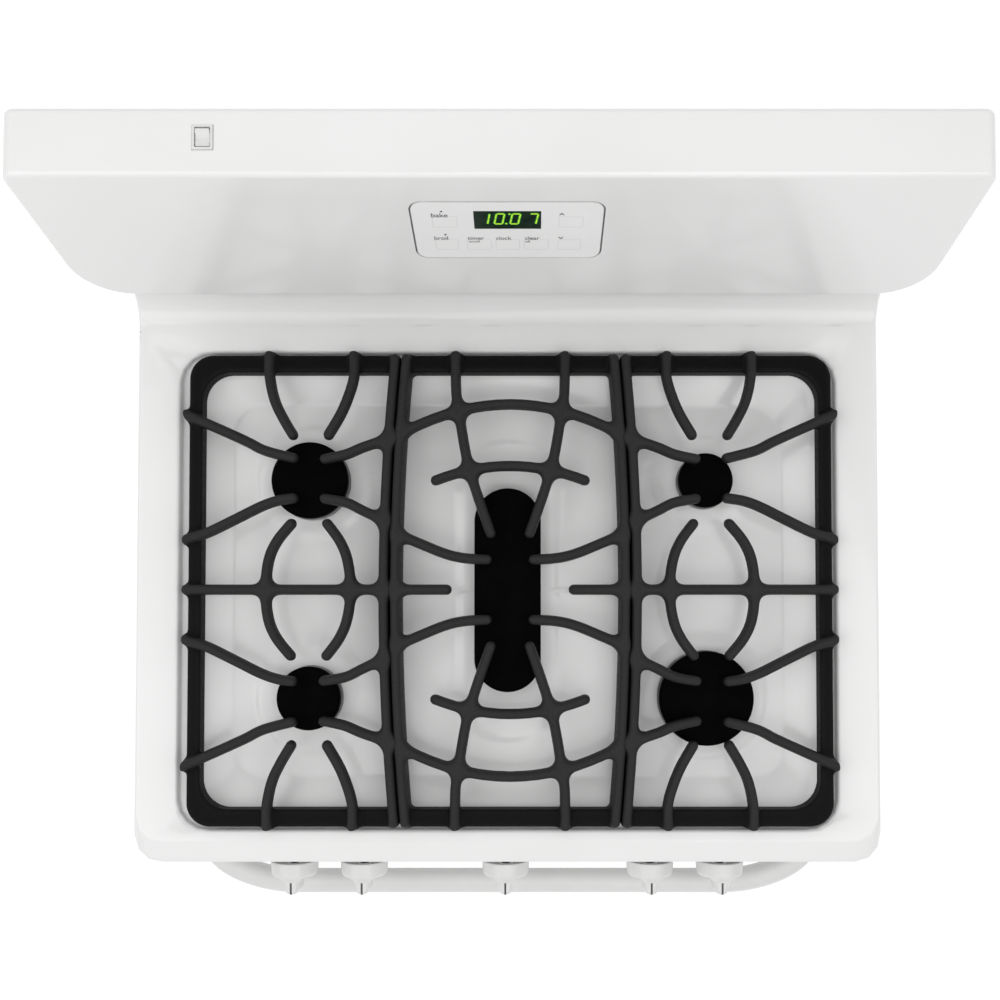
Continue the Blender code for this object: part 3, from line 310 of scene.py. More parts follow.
def piece(name, mesh, body, slot, nodes=(), look=None):
    """Link a mesh as a piece: its body, its material slot, and the CAD nodes it stands for."""
    made = linked(name, mesh)
    mesh.materials.clear()
    mesh.materials.append(look or LOOKS[slot])
    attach(made, body)
    if nodes:
        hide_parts(*nodes)


def finish_mesh(bm, name, sharp=40.0):
    bmesh.ops.recalc_face_normals(bm, faces=bm.faces)
    mesh = mesh_of(bm, name)
    mesh.shade_smooth()
    mesh.set_sharp_from_angle(angle=math.radians(sharp))
    return mesh


def evaluated_mesh(made, name, sharp=40.0):
    """The mesh of an object with its modifiers applied; the object is removed."""
    bpy.context.view_layer.update()
    mesh = bpy.data.meshes.new_from_object(made.evaluated_get(bpy.context.evaluated_depsgraph_get()))
    mesh.name = name
    mesh.shade_smooth()
    mesh.set_sharp_from_angle(angle=math.radians(sharp))
    bpy.data.objects.remove(made, do_unlink=True)
    return mesh


def scratch(mesh):
    return linked("scratch", mesh)


def box_form(low, high):
    low, high = Vector(low), Vector(high)
    bm = bmesh.new()
    bmesh.ops.create_cube(bm, size=1.0)
    bmesh.ops.scale(bm, vec=high - low, verts=bm.verts)
    bmesh.ops.translate(bm, vec=(low + high) / 2, verts=bm.verts)
    return bm


def bevelled(bm, width, segments=4, chosen=None):
    edges = list(chosen if chosen is not None else bm.edges)
    bmesh.ops.bevel(bm, geom=edges, offset=width, segments=segments, profile=0.5, affect="EDGES")
    return bm


def boolean(mesh, tools, name, sharp=40.0, operation="DIFFERENCE"):
    """Cut or join a mesh with tool meshes."""
    target = scratch(mesh)
    helpers = [scratch(tool) for tool in tools]
    for helper in helpers:
        modifier = target.modifiers.new("tool", "BOOLEAN")
        modifier.operation = operation
        modifier.solver = "EXACT"
        modifier.object = helper
    made = evaluated_mesh(target, name, sharp)
    for helper in helpers:
        bpy.data.objects.remove(helper, do_unlink=True)
    return made


def turn_towards(bm, facing):
    """Make each sheet's faces agree, and turn the sheet so that it looks the given way overall."""
    bmesh.ops.recalc_face_normals(bm, faces=bm.faces)
    bm.normal_update()
    left = set(bm.faces)
    while left:
        sheet, queue = set(), [left.pop()]
        while queue:
            face = queue.pop()
            sheet.add(face)
            for edge in face.edges:
                for other in edge.link_faces:
                    if other in left:
                        left.discard(other)
                        queue.append(other)
        view = sum((face.normal * face.calc_area() for face in sheet), Vector())
        if view.dot(Vector(facing)) < 0:
            bmesh.ops.reverse_faces(bm, faces=list(sheet))


def thickened(bm, name, wall, sharp=40.0, facing=(0, -1, 0), even=True):
    """A sheet with its wall behind it; uneven keeps sharp sheet corners from running out to spikes."""
    turn_towards(bm, facing)
    mesh = mesh_of(bm, name)
    made = scratch(mesh)
    modifier = made.modifiers.new("wall", "SOLIDIFY")
    modifier.thickness = wall
    modifier.offset = -1.0
    modifier.use_even_offset = even
    return evaluated_mesh(made, name, sharp)


def plain_box(low, high):
    return mesh_of(box_form(low, high), "tool")


def arc(centre, radius, start, end, steps):
    points = []
    for step in range(steps + 1):
        angle = math.radians(start + (end - start) * step / steps)
        points.append((centre[0] + radius * math.cos(angle), centre[1] + radius * math.sin(angle)))
    return points


def rounded_outline(x0, x1, y0, y1, radius, steps, rear=None):
    """A rectangle with rounded corners; the two at the rear may have a radius of their own."""
    rear = radius if rear is None else rear
    points = []
    corners = ((x1 - rear, y1 - rear, rear), (x0 + rear, y1 - rear, rear), (x0 + radius, y0 + radius, radius),
               (x1 - radius, y0 + radius, radius))
    for quarter, (x, y, size) in enumerate(corners):
        points += arc((x, y), size, 90 * quarter, 90 * quarter + 90, steps)
    return points


def stadium(radius, half_length, steps):
    straight = half_length - radius
    return arc((0, straight), radius, 0, 180, steps) + arc((0, -straight), radius, 180, 360, steps)


def lofted(rings, closed_start=True, closed_end=True):
    """Quads between rings of equally many points, each ring a closed loop."""
    bm = bmesh.new()
    loops = [[bm.verts.new(point) for point in ring] for ring in rings]
    for first, second in zip(loops, loops[1:]):
        for index in range(len(first)):
            after = (index + 1) % len(first)
            bm.faces.new((first[index], first[after], second[after], second[index]))
    if closed_start:
        bm.faces.new(loops[0])
    if closed_end:
        bm.faces.new(loops[-1])
    return bm


def prism(outline, place, thickness):
    """An outline in a plane, given depth along the plane's normal: place is the plane's matrix."""
    return lofted([[place @ Vector((x, y, z)) for x, y in outline] for z in (0.0, thickness)])


def turned(profile, centre, steps=96, reach=None):
    """Rings about a vertical axis; reach(angle, radius, height) may change a radius round the turn."""
    rings = []
    for radius, height in profile:
        ring = []
        for step in range(steps):
            angle = 2 * math.pi * step / steps
            here = reach(angle, radius, height) if reach else radius
            ring.append((centre[0] + here * math.cos(angle), centre[1] + here * math.sin(angle),
                         centre[2] + height))
        rings.append(ring)
    return lofted(rings)


def swept(points, section):
    """A section of (across, up) points carried along a level path of (x, y, z) points."""
    rings = []
    last = len(points) - 1
    for index, point in enumerate(points):
        ahead = (Vector(points[min(index + 1, last)]) - Vector(points[max(index - 1, 0)])).normalized()
        side = ahead.cross(Vector((0, 0, 1))).normalized()
        rings.append([Vector(point) + side * across + Vector((0, 0, up)) for across, up in section])
    return lofted(rings)


def superellipse(half_x, half_y, power, steps):
    points = []
    for step in range(steps):
        angle = 2 * math.pi * (step + 0.5) / steps
        across, up = math.cos(angle), math.sin(angle)
        reach = (abs(across) ** power + abs(up) ** power) ** (-1 / power)
        points.append((half_x * across * reach, half_y * up * reach))
    return points


def smooth_path(points, steps=5):
    """Catmull-Rom points through the given ones."""
    full = [points[0]] + list(points) + [points[-1]]
    made = []
    for p0, p1, p2, p3 in zip(full, full[1:], full[2:], full[3:]):
        for step in range(steps):
            t = step / steps
            made.append(tuple(0.5 * (2 * b + (c - a) * t + (2 * a - 5 * b + 4 * c - d) * t ** 2
                                     + (3 * b - a - 3 * c + d) * t ** 3)
                              for a, b, c, d in zip(p0, p1, p2, p3)))
    return made + [tuple(points[-1])]


# ---------------------------------------------------------------- solids from distance fields

def soft_min(a, b, blend):
    """The nearer of two distances, with a fillet where they meet."""
    near = np.maximum(blend - np.abs(a - b), 0.0) / blend
    return np.minimum(a, b) - near * near * blend / 4


def soft_max(a, b, blend):
    return -soft_min(-a, -b, blend)


def path_distance(x, y, points):
    best = np.full(x.shape, 9.0)
    for (x0, y0), (x1, y1) in zip(points, points[1:]):
        dx, dy = x1 - x0, y1 - y0
        share = np.clip(((x - x0) * dx + (y - y0) * dy) / (dx * dx + dy * dy), 0, 1)
        best = np.minimum(best, np.hypot(x - x0 - share * dx, y - y0 - share * dy))
    return best


def rounded_box_distance(x, y, half_x, half_y, radius):
    over_x = np.abs(x) - half_x + radius
    over_y = np.abs(y) - half_y + radius
    outside = np.hypot(np.maximum(over_x, 0), np.maximum(over_y, 0))
    return outside + np.minimum(np.maximum(over_x, over_y), 0) - radius


def sculpt(name, low, high, step, field, smoothing=2):
    """A closed quad mesh where a distance field crosses zero, one vertex in each crossed cell."""
    low, high = np.array(low), np.array(high)
    counts = np.ceil((high - low) / step).astype(int) + 1
    axes = [low[axis] + step * np.arange(counts[axis]) for axis in range(3)]
    values = field(*np.meshgrid(*axes, indexing="ij", sparse=True))
    inside = values < 0
    total = np.zeros(counts - 1, np.int8)
    for i, j, k in itertools.product((0, 1), repeat=3):
        total += inside[i:counts[0] - 1 + i, j:counts[1] - 1 + j, k:counts[2] - 1 + k]
    crossed = (total > 0) & (total < 8)
    number = np.full(crossed.shape, -1)
    number[crossed] = np.arange(crossed.sum())
    corners = np.argwhere(crossed)
    sums = np.zeros((len(corners), 3))
    hits = np.zeros(len(corners))
    unit = np.eye(3, dtype=int)
    for axis, a, b in itertools.product(range(3), (0, 1), (0, 1)):
        start = corners + a * unit[(axis + 1) % 3] + b * unit[(axis + 2) % 3]
        end = start + unit[axis]
        first, second = values[tuple(start.T)], values[tuple(end.T)]
        change = (first < 0) != (second < 0)
        share = first[change] / (first[change] - second[change])
        sums[change] += start[change] + share[:, None] * unit[axis]
        hits[change] += 1
    points = low + step * sums / hits[:, None]
    faces = []
    for axis in range(3):
        u, v = unit[(axis + 1) % 3], unit[(axis + 2) % 3]
        ahead = [slice(None)] * 3
        behind = [slice(None)] * 3
        behind[axis], ahead[axis] = slice(None, -1), slice(1, None)
        change = inside[tuple(behind)] != inside[tuple(ahead)]
        spots = np.argwhere(change)
        quads = [number[tuple((spots - a * u - b * v).T)] for a, b in ((0, 0), (1, 0), (1, 1), (0, 1))]
        quads = np.stack(quads, axis=1)
        turn = ~inside[tuple(spots.T)]
        quads[turn] = quads[turn][:, ::-1]
        faces.append(quads)
    mesh = bpy.data.meshes.new(name)
    mesh.from_pydata(points.tolist(), [], np.concatenate(faces).tolist())
    made = scratch(mesh)
    relax = made.modifiers.new("relax", "SMOOTH")
    relax.factor = 0.5
    relax.iterations = smoothing
    return evaluated_mesh(made, name, 80.0)


# ---------------------------------------------------------------- grates

RIB_LOW, RIB_HIGH = 0.9240, 0.9360
BAR_LOW, FRAME_HIGH = 0.9065, 0.9255
FOOT, CREST = 0.0112, 0.0080
SIDE_FINGERS = (
    ((242.4, 232.2), (242.4, 213.7), (237.5, 190.8), (228.8, 172.3), (219, 155.8)),
    ((157.2, 232.2), (157.7, 213.7), (163.5, 193.7), (171.3, 175.7), (183, 155.8)),
    ((321.7, 174.3), (303.7, 166.5), (266.7, 149.9), (247.3, 140.2), (218.1, 132.4)),
    ((117.4, 152.8), (125.6, 150.9), (148.9, 143.1), (165, 136.3), (186.4, 131.4)),
    ((323.2, 51.1), (303.7, 57.4), (275.5, 71.1), (250.2, 83.7), (233.6, 89.6), (218.1, 92)),
    ((125.6, 69.1), (128.5, 70.1), (148.9, 79.8), (165, 87.6), (186.4, 91.5)),
)
SIDE_BOWS = (
    ((220, 66.2), (234.1, 48.7), (242.4, 29.2), (245.3, 0)),
    ((184, 66.2), (171.3, 48.7), (163.5, 29.2), (160.1, 0)),
)
MIDDLE_UPRIGHT = (
    (55, 232.2), (55, 222), (54.5, 198.6), (51.6, 178.2),
    (46.1, 144.1), (41.2, 121.7), (33.1, 95.4), (19.5, 56.5),
)
MIDDLE_CURL = ((112, 55.5), (89.6, 45.8), (65.2, 36), (45.8, 31.6), (23.4, 30.2))
SIDE_BAR = (115.8, 127.1)
MIDDLE_BAR = (104.7, 115.4)
BAR_END = 232.4
CROSSING_ARCS = ((186.9, 105.1, 159.7), (124.6, 75, 110))


def bowed(ends, middle, half_length, steps=24):
    points = []
    for step in range(steps + 1):
        y = half_length * (2 * step / steps - 1)
        points.append((middle + (ends - middle) * (y / half_length) ** 2, y))
    return points


def crossing(apex, edge_x, edge_y, steps=16):
    points = []
    for step in range(steps + 1):
        x = edge_x * (2 * step / steps - 1)
        points.append((x, apex + (edge_y - apex) * (x / edge_x) ** 2))
    return points


def placed(points, sign_x, sign_y):
    return [(GRATE_X + sign_x * x / 1000, WELL_Y + sign_y * y / 1000) for x, y in points]


def ribs_distance(x, y, paths):
    """Plan distance to a family of ribs, measured from their centre lines, filleted at the joints."""
    best = path_distance(x, y, paths[0])
    for points in paths[1:]:
        best = soft_min(best, path_distance(x, y, points), 0.0105)
    return best


def extended(points, reach=7.0):
    """A line that starts on the frame has that end drawn out, so that a trim can square it off."""
    (x0, y0), (x1, y1) = points[0], points[1]
    if max(x0 - 300, y0 - 230) < 0:
        return list(points)
    share = reach / math.hypot(x0 - x1, y0 - y1)
    return [(x0 + (x0 - x1) * share, y0 + (y0 - y1) * share)] + list(points[1:])


def bar_solid(plan, z, low, high):
    """A tapering bar: plan is the distance from its centre line."""
    share = np.clip((z - RIB_LOW) / (RIB_HIGH - RIB_LOW), 0, 1)
    half = (FOOT + (CREST - FOOT) * share) / 2
    side = plan - half
    body = soft_max(side, z - high, 0.0045)
    return soft_max(body, low - z, 0.0016)


def grate_field(ribs, bars, frame_plan):
    """Ribs above, bars of full depth, and a flat frame band, all run together with fillets."""
    def field(x, y, z):
        flat_x, flat_y = np.broadcast_arrays(x[:, :, 0], y[:, :, 0])
        everything = ribs_distance(flat_x, flat_y, ribs + bars)[:, :, None]
        uprights = ribs_distance(flat_x, flat_y, bars)[:, :, None]
        trim = rounded_box_distance(flat_x - GRATE_X, flat_y - WELL_Y, 0.3283, 0.2400, 0.026)[:, :, None]
        tops = soft_max(bar_solid(everything, z, RIB_LOW, RIB_HIGH), trim, 0.0030)
        walls = soft_max(bar_solid(uprights, z, BAR_LOW, RIB_HIGH), trim + 0.0010, 0.0020)
        band = frame_plan(flat_x, flat_y)[:, :, None]
        frame_solid = soft_max(soft_max(band, z - FRAME_HIGH, 0.0035), BAR_LOW - z, 0.0016)
        return soft_min(np.minimum(tops, walls), frame_solid, 0.0045)
    return field


def frame_band(x, y):
    """Plan distance to the flat frame; its inner corners are rounder than its outer ones."""
    local_x, local_y = x - GRATE_X, y - WELL_Y
    outer = rounded_box_distance(local_x, local_y, 0.3247, 0.2376, 0.0240)
    inner = rounded_box_distance(local_x, local_y, 0.3115, 0.2200, 0.028)
    return np.maximum(outer, -inner)


def side_grate(side, sign):
    lines = [extended(smooth_path(points)) for points in SIDE_FINGERS]
    ribs = [placed(line, sign, sign_y) for line in lines for sign_y in (-1, 1)]
    for points in SIDE_BOWS:
        whole = list(points) + [(x, -y) for x, y in reversed(points[:-1])]
        ribs.append(placed(smooth_path(whole), sign, 1))
    ribs.append(placed(extended(((323.7, 0), (125.6, 0))), sign, 1))
    bar = placed(bowed(*SIDE_BAR, BAR_END), sign, 1)

    def band(x, y):
        return np.maximum(frame_band(x, y), 0.1165 - sign * (x - GRATE_X))

    ends = sorted((GRATE_X + sign * 0.108, GRATE_X + sign * 0.332))
    low, high = (ends[0], WELL_Y - 0.243, 0.9035), (ends[1], WELL_Y + 0.243, 0.9385)
    mesh = sculpt("grate_mesh_" + side, low, high, 0.0014, grate_field(ribs, [bar], band))
    piece("cast_grate_" + side, mesh, "grate_" + side, "iron", ["grate_" + side])


def middle_grate():
    bars = [placed(bowed(*MIDDLE_BAR, BAR_END), sign, 1) for sign in (-1, 1)]
    ribs = []
    for sign_y in (-1, 1):
        ribs += [placed(crossing(*numbers), 1, sign_y) for numbers in CROSSING_ARCS]
        for sign_x in (-1, 1):
            ribs.append(placed(extended(smooth_path(MIDDLE_UPRIGHT)), sign_x, sign_y))
            ribs.append(placed(smooth_path(MIDDLE_CURL), sign_x, sign_y))
    ribs += [placed(((114.9, 0), (63.8, 0)), sign, 1) for sign in (-1, 1)]

    def band(x, y):
        return np.maximum(frame_band(x, y), np.abs(x - GRATE_X) - 0.1040)

    low, high = (GRATE_X - 0.124, WELL_Y - 0.243, 0.9035), (GRATE_X + 0.124, WELL_Y + 0.243, 0.9385)
    mesh = sculpt("grate_mesh_middle", low, high, 0.0014, grate_field(ribs, bars, band))
    piece("cast_grate_middle", mesh, "grate_middle", "iron", ["grate_middle"])


# ---------------------------------------------------------------- cooktop and burners

WELL = (0.334, 0.242, 0.030)
COVE_Y, COVE_RADIUS, COVE_TOP = 0.2590, 0.036, 0.959
SIDE_ROLL = (0.0050, 0.0110)
COOKTOP_FRONT = -0.287
APRON_Z = 0.8873
SHARP_CORNER = 0.0008
EMBOSSED = (
    (-0.2024, 0.1022, 0.0570),
    (-0.2024, -0.1204, 0.0570),
    (0.2024, 0.1022, 0.0475),
    (0.2024, -0.1204, 0.0635),
)


def emboss(x, y):
    """Height that the pressed rings round the burners add to the well's floor."""
    height = 0.0
    for centre_x, centre_y, radius in EMBOSSED:
        height = max(height, ring_height(math.hypot(x - centre_x, y - centre_y) - radius))
    straight = max(abs(y - WELL_Y) - 0.105, 0.0)
    height = max(height, ring_height(math.hypot(x, straight) - 0.050))
    return height


def ring_height(beyond, rise=0.0024, width=0.0075):
    """A low plateau inside the ring, with a rounded step at its edge."""
    share = min(max((width / 2 - beyond) / width, 0.0), 1.0)
    return rise * share * share * (3 - 2 * share)


def front_slope(rise):
    """How far back the front edge has come at a height above its foot: a small nose, then a flat slope."""
    nose = 0.0030
    if rise < nose:
        return nose - math.sqrt(nose * nose - rise * rise)
    return nose + 0.0195 * (rise - nose) / (SIDE_ROLL[1] - nose)


def cooktop_rings(steps):
    """Outlines from the apron's lower edge over the rolled rim and down into the well."""
    back = COVE_Y + 0.0025
    rings = []

    def ring(side, front, radius, z):
        outline = rounded_outline(-HALF + side, HALF - side, COOKTOP_FRONT + front, back, radius, steps,
                                  SHARP_CORNER)
        rings.append([(x, y, z) for x, y in outline])

    foot = COOKTOP_Z - SIDE_ROLL[1]
    ring(0.0, 0.0, 0.026, APRON_Z)
    ring(0.0, 0.0, 0.026, foot)
    for step in range(1, 13):
        angle = math.radians(7.5 * step)
        rise = SIDE_ROLL[1] * math.sin(angle)
        ring(SIDE_ROLL[0] * (1 - math.cos(angle)), front_slope(rise), 0.026, foot + rise)
    ring(SIDE_ROLL[0] + 0.0012, front_slope(SIDE_ROLL[1]) + 0.0012, 0.025, COOKTOP_Z)
    half_x, half_y, radius = WELL

    def well(inset, z, corner):
        outline = rounded_outline(-half_x + inset, half_x - inset, WELL_Y - half_y + inset,
                                  WELL_Y + half_y - inset, corner, steps)
        rings.append([(x, y, z) for x, y in outline])

    well(-0.0040, COOKTOP_Z, radius + 0.004)
    for step in range(1, 6):
        angle = math.radians(18 * step)
        well(-0.0040 + 0.0040 * math.sin(angle), COOKTOP_Z - 0.0040 * (1 - math.cos(angle)), radius)
    for step in range(1, 5):
        angle = math.radians(22.5 * step)
        well(0.0030 * (1 - math.cos(angle)), LEDGE_Z + 0.0030 - 0.0030 * math.sin(angle), radius - 0.002)
    well(0.0165, LEDGE_Z, 0.030)
    for step in range(1, 4):
        well(0.0165 + 0.0015 * step, LEDGE_Z - 0.00025 * step * step, 0.030)
    for step in range(0, 5):
        share = step / 4
        well(0.0245 + 0.0225 * share, LEDGE_Z - 0.0035 - (LEDGE_Z - FLOOR_Z - 0.0045) * share, 0.032)
    well(0.0490, FLOOR_Z + 0.0003, 0.032)
    return rings


def cooktop():
    """Pressed sheet: apron, rolled rim, ledge, sloping wall and a floor with embossed rings."""
    steps = 44
    rings = [[(x, y, ring[0][2]) for x, y in spread(ring, len(ring))] for ring in cooktop_rings(steps)]
    half_x, half_y = WELL[0] - 0.051, WELL[1] - 0.051
    rows = 88
    for row in range(rows):
        inset = half_y * row / rows
        radius = max(0.034 - inset * 0.30, 0.006)
        radius = min(radius, half_y - inset)
        outline = rounded_outline(-half_x + inset, half_x - inset, WELL_Y - half_y + inset,
                                  WELL_Y + half_y - inset, radius, steps)
        rings.append([(x, y, FLOOR_Z + emboss(x, y)) for x, y in spread(outline, len(rings[0]))])
    bm = lofted(rings, closed_start=False)
    cove_sheet(bm)
    mesh = thickened(bm, "cooktop_mesh", 0.0014, 50.0, (0, -0.2, 1), False)
    piece("pressed_cooktop", mesh, "range_body", "white_enamel", ["cooktop"])


def spread(outline, count):
    """The same closed outline with its points evenly spaced along it."""
    flat = np.array([point[:2] for point in outline])
    loop = np.vstack([flat, flat[:1]])
    lengths = np.concatenate([[0.0], np.cumsum(np.hypot(*np.diff(loop, axis=0).T))])
    targets = np.linspace(0.0, lengths[-1], count, endpoint=False)
    xs, ys = np.interp(targets, lengths, loop[:, 0]), np.interp(targets, lengths, loop[:, 1])
    return list(zip(xs.tolist(), ys.tolist()))


def cylinder_tool(centre, radius, height, sides=48):
    bm = bmesh.new()
    bmesh.ops.create_cone(bm, cap_ends=True, segments=sides, radius1=radius, radius2=radius, depth=height)
    bmesh.ops.translate(bm, vec=centre, verts=bm.verts)
    return mesh_of(bm, "bore")


def cove_sheet(bm):
    """The rear edge sweeps up in a quarter round; its ends turn down as the sides do."""
    edge = []
    for step in range(9):
        angle = math.radians(11.25 * step)
        edge.append((HALF - SIDE_ROLL[0] * (1 - math.cos(angle)), SIDE_ROLL[1] * (1 - math.sin(angle))))
    inner = HALF - SIDE_ROLL[0] - 0.001
    places = [(-x, drop) for x, drop in edge] + [((-1 + step / 20) * inner, 0.0) for step in range(41)]
    places += [(x, drop) for x, drop in reversed(edge)]
    columns = []
    for x, drop in places:
        bend = arc((COVE_Y, COOKTOP_Z + COVE_RADIUS), COVE_RADIUS + drop, -90, 0, 18)
        line = [(COVE_Y - 0.004, bend[0][1])] + bend + [(bend[-1][0], COVE_TOP)]
        columns.append([bm.verts.new((x, y, z - 0.0001)) for y, z in line])
    for first, second in zip(columns, columns[1:]):
        for index in range(len(first) - 1):
            bm.faces.new((first[index], second[index], second[index + 1], first[index + 1]))
    for column, order in ((columns[0][1:-1], 1), (columns[-1][1:-1], -1)):
        foot = [bm.verts.new((vert.co.x, vert.co.y, APRON_Z)) for vert in column]
        for index in range(len(column) - 1):
            quad = (column[index], column[index + 1], foot[index + 1], foot[index])
            bm.faces.new(quad[::order])


def ports(count):
    """Slots round a burner head: the wall steps in at each port."""
    def reach(angle, radius, height):
        wave = math.cos(angle * count)
        deep = 0.0022 if FLOOR_Z + 0.0052 < height < FLOOR_Z + 0.0108 else 0.0
        return radius - (deep if wave > 0.35 else 0.0)
    return reach


def round_burner(name, x, y, radius):
    place = (x, WELL_Y + y, 0)
    base = FLOOR_Z + 0.0003
    head = [(0.001, base - 0.020), (STUB_RADIUS, base - 0.020), (STUB_RADIUS, base), (radius + 0.0010, base)]
    head += [(radius + 0.0010, base + 0.0018), (radius - 0.0016, base + 0.0040)]
    head += [(radius - 0.0020, base + 0.0048), (radius - 0.0020, base + 0.0050)]
    head += [(radius - 0.0020, base + 0.0104), (radius - 0.0020, base + 0.0106), (radius - 0.0024, SEAT_Z)]
    head += [(radius * 0.82, SEAT_Z), (radius * 0.80, HEAD_TOP), (0.001, HEAD_TOP)]
    count = int(radius * 900)
    mesh = finish_mesh(turned(head, place, count * 6, ports(count)), "head_mesh_" + name, 35.0)
    piece("ported_head_" + name, mesh, "range_body", "burner_aluminium", ["burner_head_" + name])
    lid = HEAD_TOP + 0.0003
    skirt = SEAT_Z + 0.0003
    recess = radius * 0.82 + 0.0005
    cap = [(0.001, lid), (recess, lid), (recess, skirt), (radius - 0.0006, skirt)]
    cap += [(radius, skirt + 0.0006), (radius, CAP_TOP - 0.0042)]
    cap += [(radius - 0.0036 + u, CAP_TOP - 0.0042 + v) for u, v in arc((0, 0), 0.0036, 10, 90, 8)]
    cap += [(radius * 0.55, CAP_TOP - 0.0002), (0.001, CAP_TOP)]
    mesh = finish_mesh(turned(cap, place, 96), "cap_mesh_" + name, 35.0)
    piece("enamel_cap_" + name, mesh, "cap_" + name, "cap_enamel", ["burner_cap_" + name])


def oval_rings(levels, steps=40):
    """Stadium outlines about the centre burner: (radius inset, height) pairs."""
    radius, half_length = OVAL
    rings = []
    for inset, height in levels:
        outline = stadium(radius - inset, half_length - inset, steps)
        rings.append([(x, y + WELL_Y, height) for x, y in outline])
    return rings


def oval_burner():
    base = FLOOR_Z + 0.0003
    shoulder = OVAL[0] * 0.2
    levels = ((0.002, base), (0.0004, base + 0.0002), (0.0004, base + 0.0018), (0.0020, base + 0.0034),
              (0.0020, base + 0.0046), (0.0038, base + 0.0050), (0.0038, base + 0.0096),
              (0.0020, base + 0.0100), (0.0022, SEAT_Z), (shoulder, SEAT_Z), (shoulder + 0.0004, HEAD_TOP),
              (0.012, HEAD_TOP))
    mesh = finish_mesh(lofted(oval_rings(levels)), "head_mesh_centre", 35.0)
    stub = cylinder_tool((0, WELL_Y, base - 0.009), STUB_RADIUS, 0.022)
    mesh = boolean(mesh, [stub], "head_mesh_centre", 35.0, "UNION")
    piece("ported_head_centre", mesh, "range_body", "burner_aluminium", ["burner_head_centre"])
    lid, skirt = HEAD_TOP + 0.0003, SEAT_Z + 0.0003
    recess = shoulder - 0.0005
    levels = [(0.014, lid), (recess, lid), (recess, skirt), (0.0006, skirt), (0.0, skirt + 0.0006)]
    levels += [(0.0, CAP_TOP - 0.0042)]
    levels += [(0.0036 - u, CAP_TOP - 0.0042 + v) for u, v in arc((0, 0), 0.0036, 10, 90, 8)]
    levels += [(0.018, CAP_TOP - 0.0001), (0.030, CAP_TOP)]
    mesh = finish_mesh(lofted(oval_rings(levels)), "cap_mesh_centre", 35.0)
    piece("enamel_cap_centre", mesh, "cap_centre", "cap_enamel", ["burner_cap_centre"])


# ---------------------------------------------------------------- console

DOWN = (FACE_BOTTOM - FACE_TOP).normalized()
OUTWARD = Vector((0.0, DOWN.z, -DOWN.y))
FACE_LENGTH = (FACE_BOTTOM - FACE_TOP).length
OVERLAY = (0.155, 0.0757)
OVERLAY_ALONG = 0.4045
DISPLAY = (0.0542, 0.0234)
DISPLAY_ALONG = 0.311


def on_face(along, x=0.0, lift=0.0):
    """A frame on the console's sloping face: x across, y up the face, z outward."""
    point = FACE_TOP + DOWN * (FACE_LENGTH * along) + Vector((x, 0, 0)) + OUTWARD * lift
    turn = Matrix((Vector((1, 0, 0)), -DOWN, OUTWARD)).transposed().to_4x4()
    return Matrix.Translation(point) @ turn


def face_prism(along, x, size, radius, lift, thickness, steps=10):
    half_x, half_y = size[0] / 2, size[1] / 2
    outline = rounded_outline(-half_x, half_x, -half_y, half_y, radius, steps)
    return prism(outline, on_face(along, x, lift), thickness)


def console():
    """Wide hood with a sloping face, soft edges, large lower corners and a return at the rear."""
    slope = (FACE_TOP.y - FACE_BOTTOM.y) / (FACE_TOP.z - FACE_BOTTOM.z)
    front_roll, rear_roll, rear_y, lip = 0.0034, 0.0060, 0.3514, 0.014
    rings = []

    def ring(inset, y, leans):
        low, high = FACE_BOTTOM.z - 0.003 + inset, TOP_Z - inset
        outline = rounded_outline(-HALF + inset, HALF - inset, low, high, max(0.045 - inset, 0.02), 14,
                                  max(0.010 - inset, 0.0015))
        lean = slope if leans else 0.0
        rings.append([(x, y + lean * (z - FACE_BOTTOM.z), z) for x, z in outline])

    for step in range(9):
        angle = math.pi / 2 * step / 8
        ring(front_roll * (1 - math.sin(angle)), FACE_BOTTOM.y + front_roll * (1 - math.cos(angle)), True)
    for step in range(7):
        angle = math.pi / 2 * step / 6
        ring(rear_roll * (1 - math.cos(angle)), rear_y - rear_roll * (1 - math.sin(angle)), False)
    ring(lip, rear_y, False)
    mesh = thickened(lofted(rings, closed_end=False), "console_mesh", 0.0014, 40.0)
    grown = (OVERLAY[0] + 0.0020, OVERLAY[1] + 0.0020)
    window = face_prism(OVERLAY_ALONG, PANEL_X, grown, 0.0110, -0.008, 0.016, 12)
    tools = [finish_mesh(window, "window"), plain_box((-0.2331, 0.3172, 1.18), (-0.2165, 0.3368, 1.21))]
    mesh = boolean(mesh, tools, "console_mesh", 40.0)
    piece("console_hood", mesh, "range_body", "white_enamel", ["console_shell"])


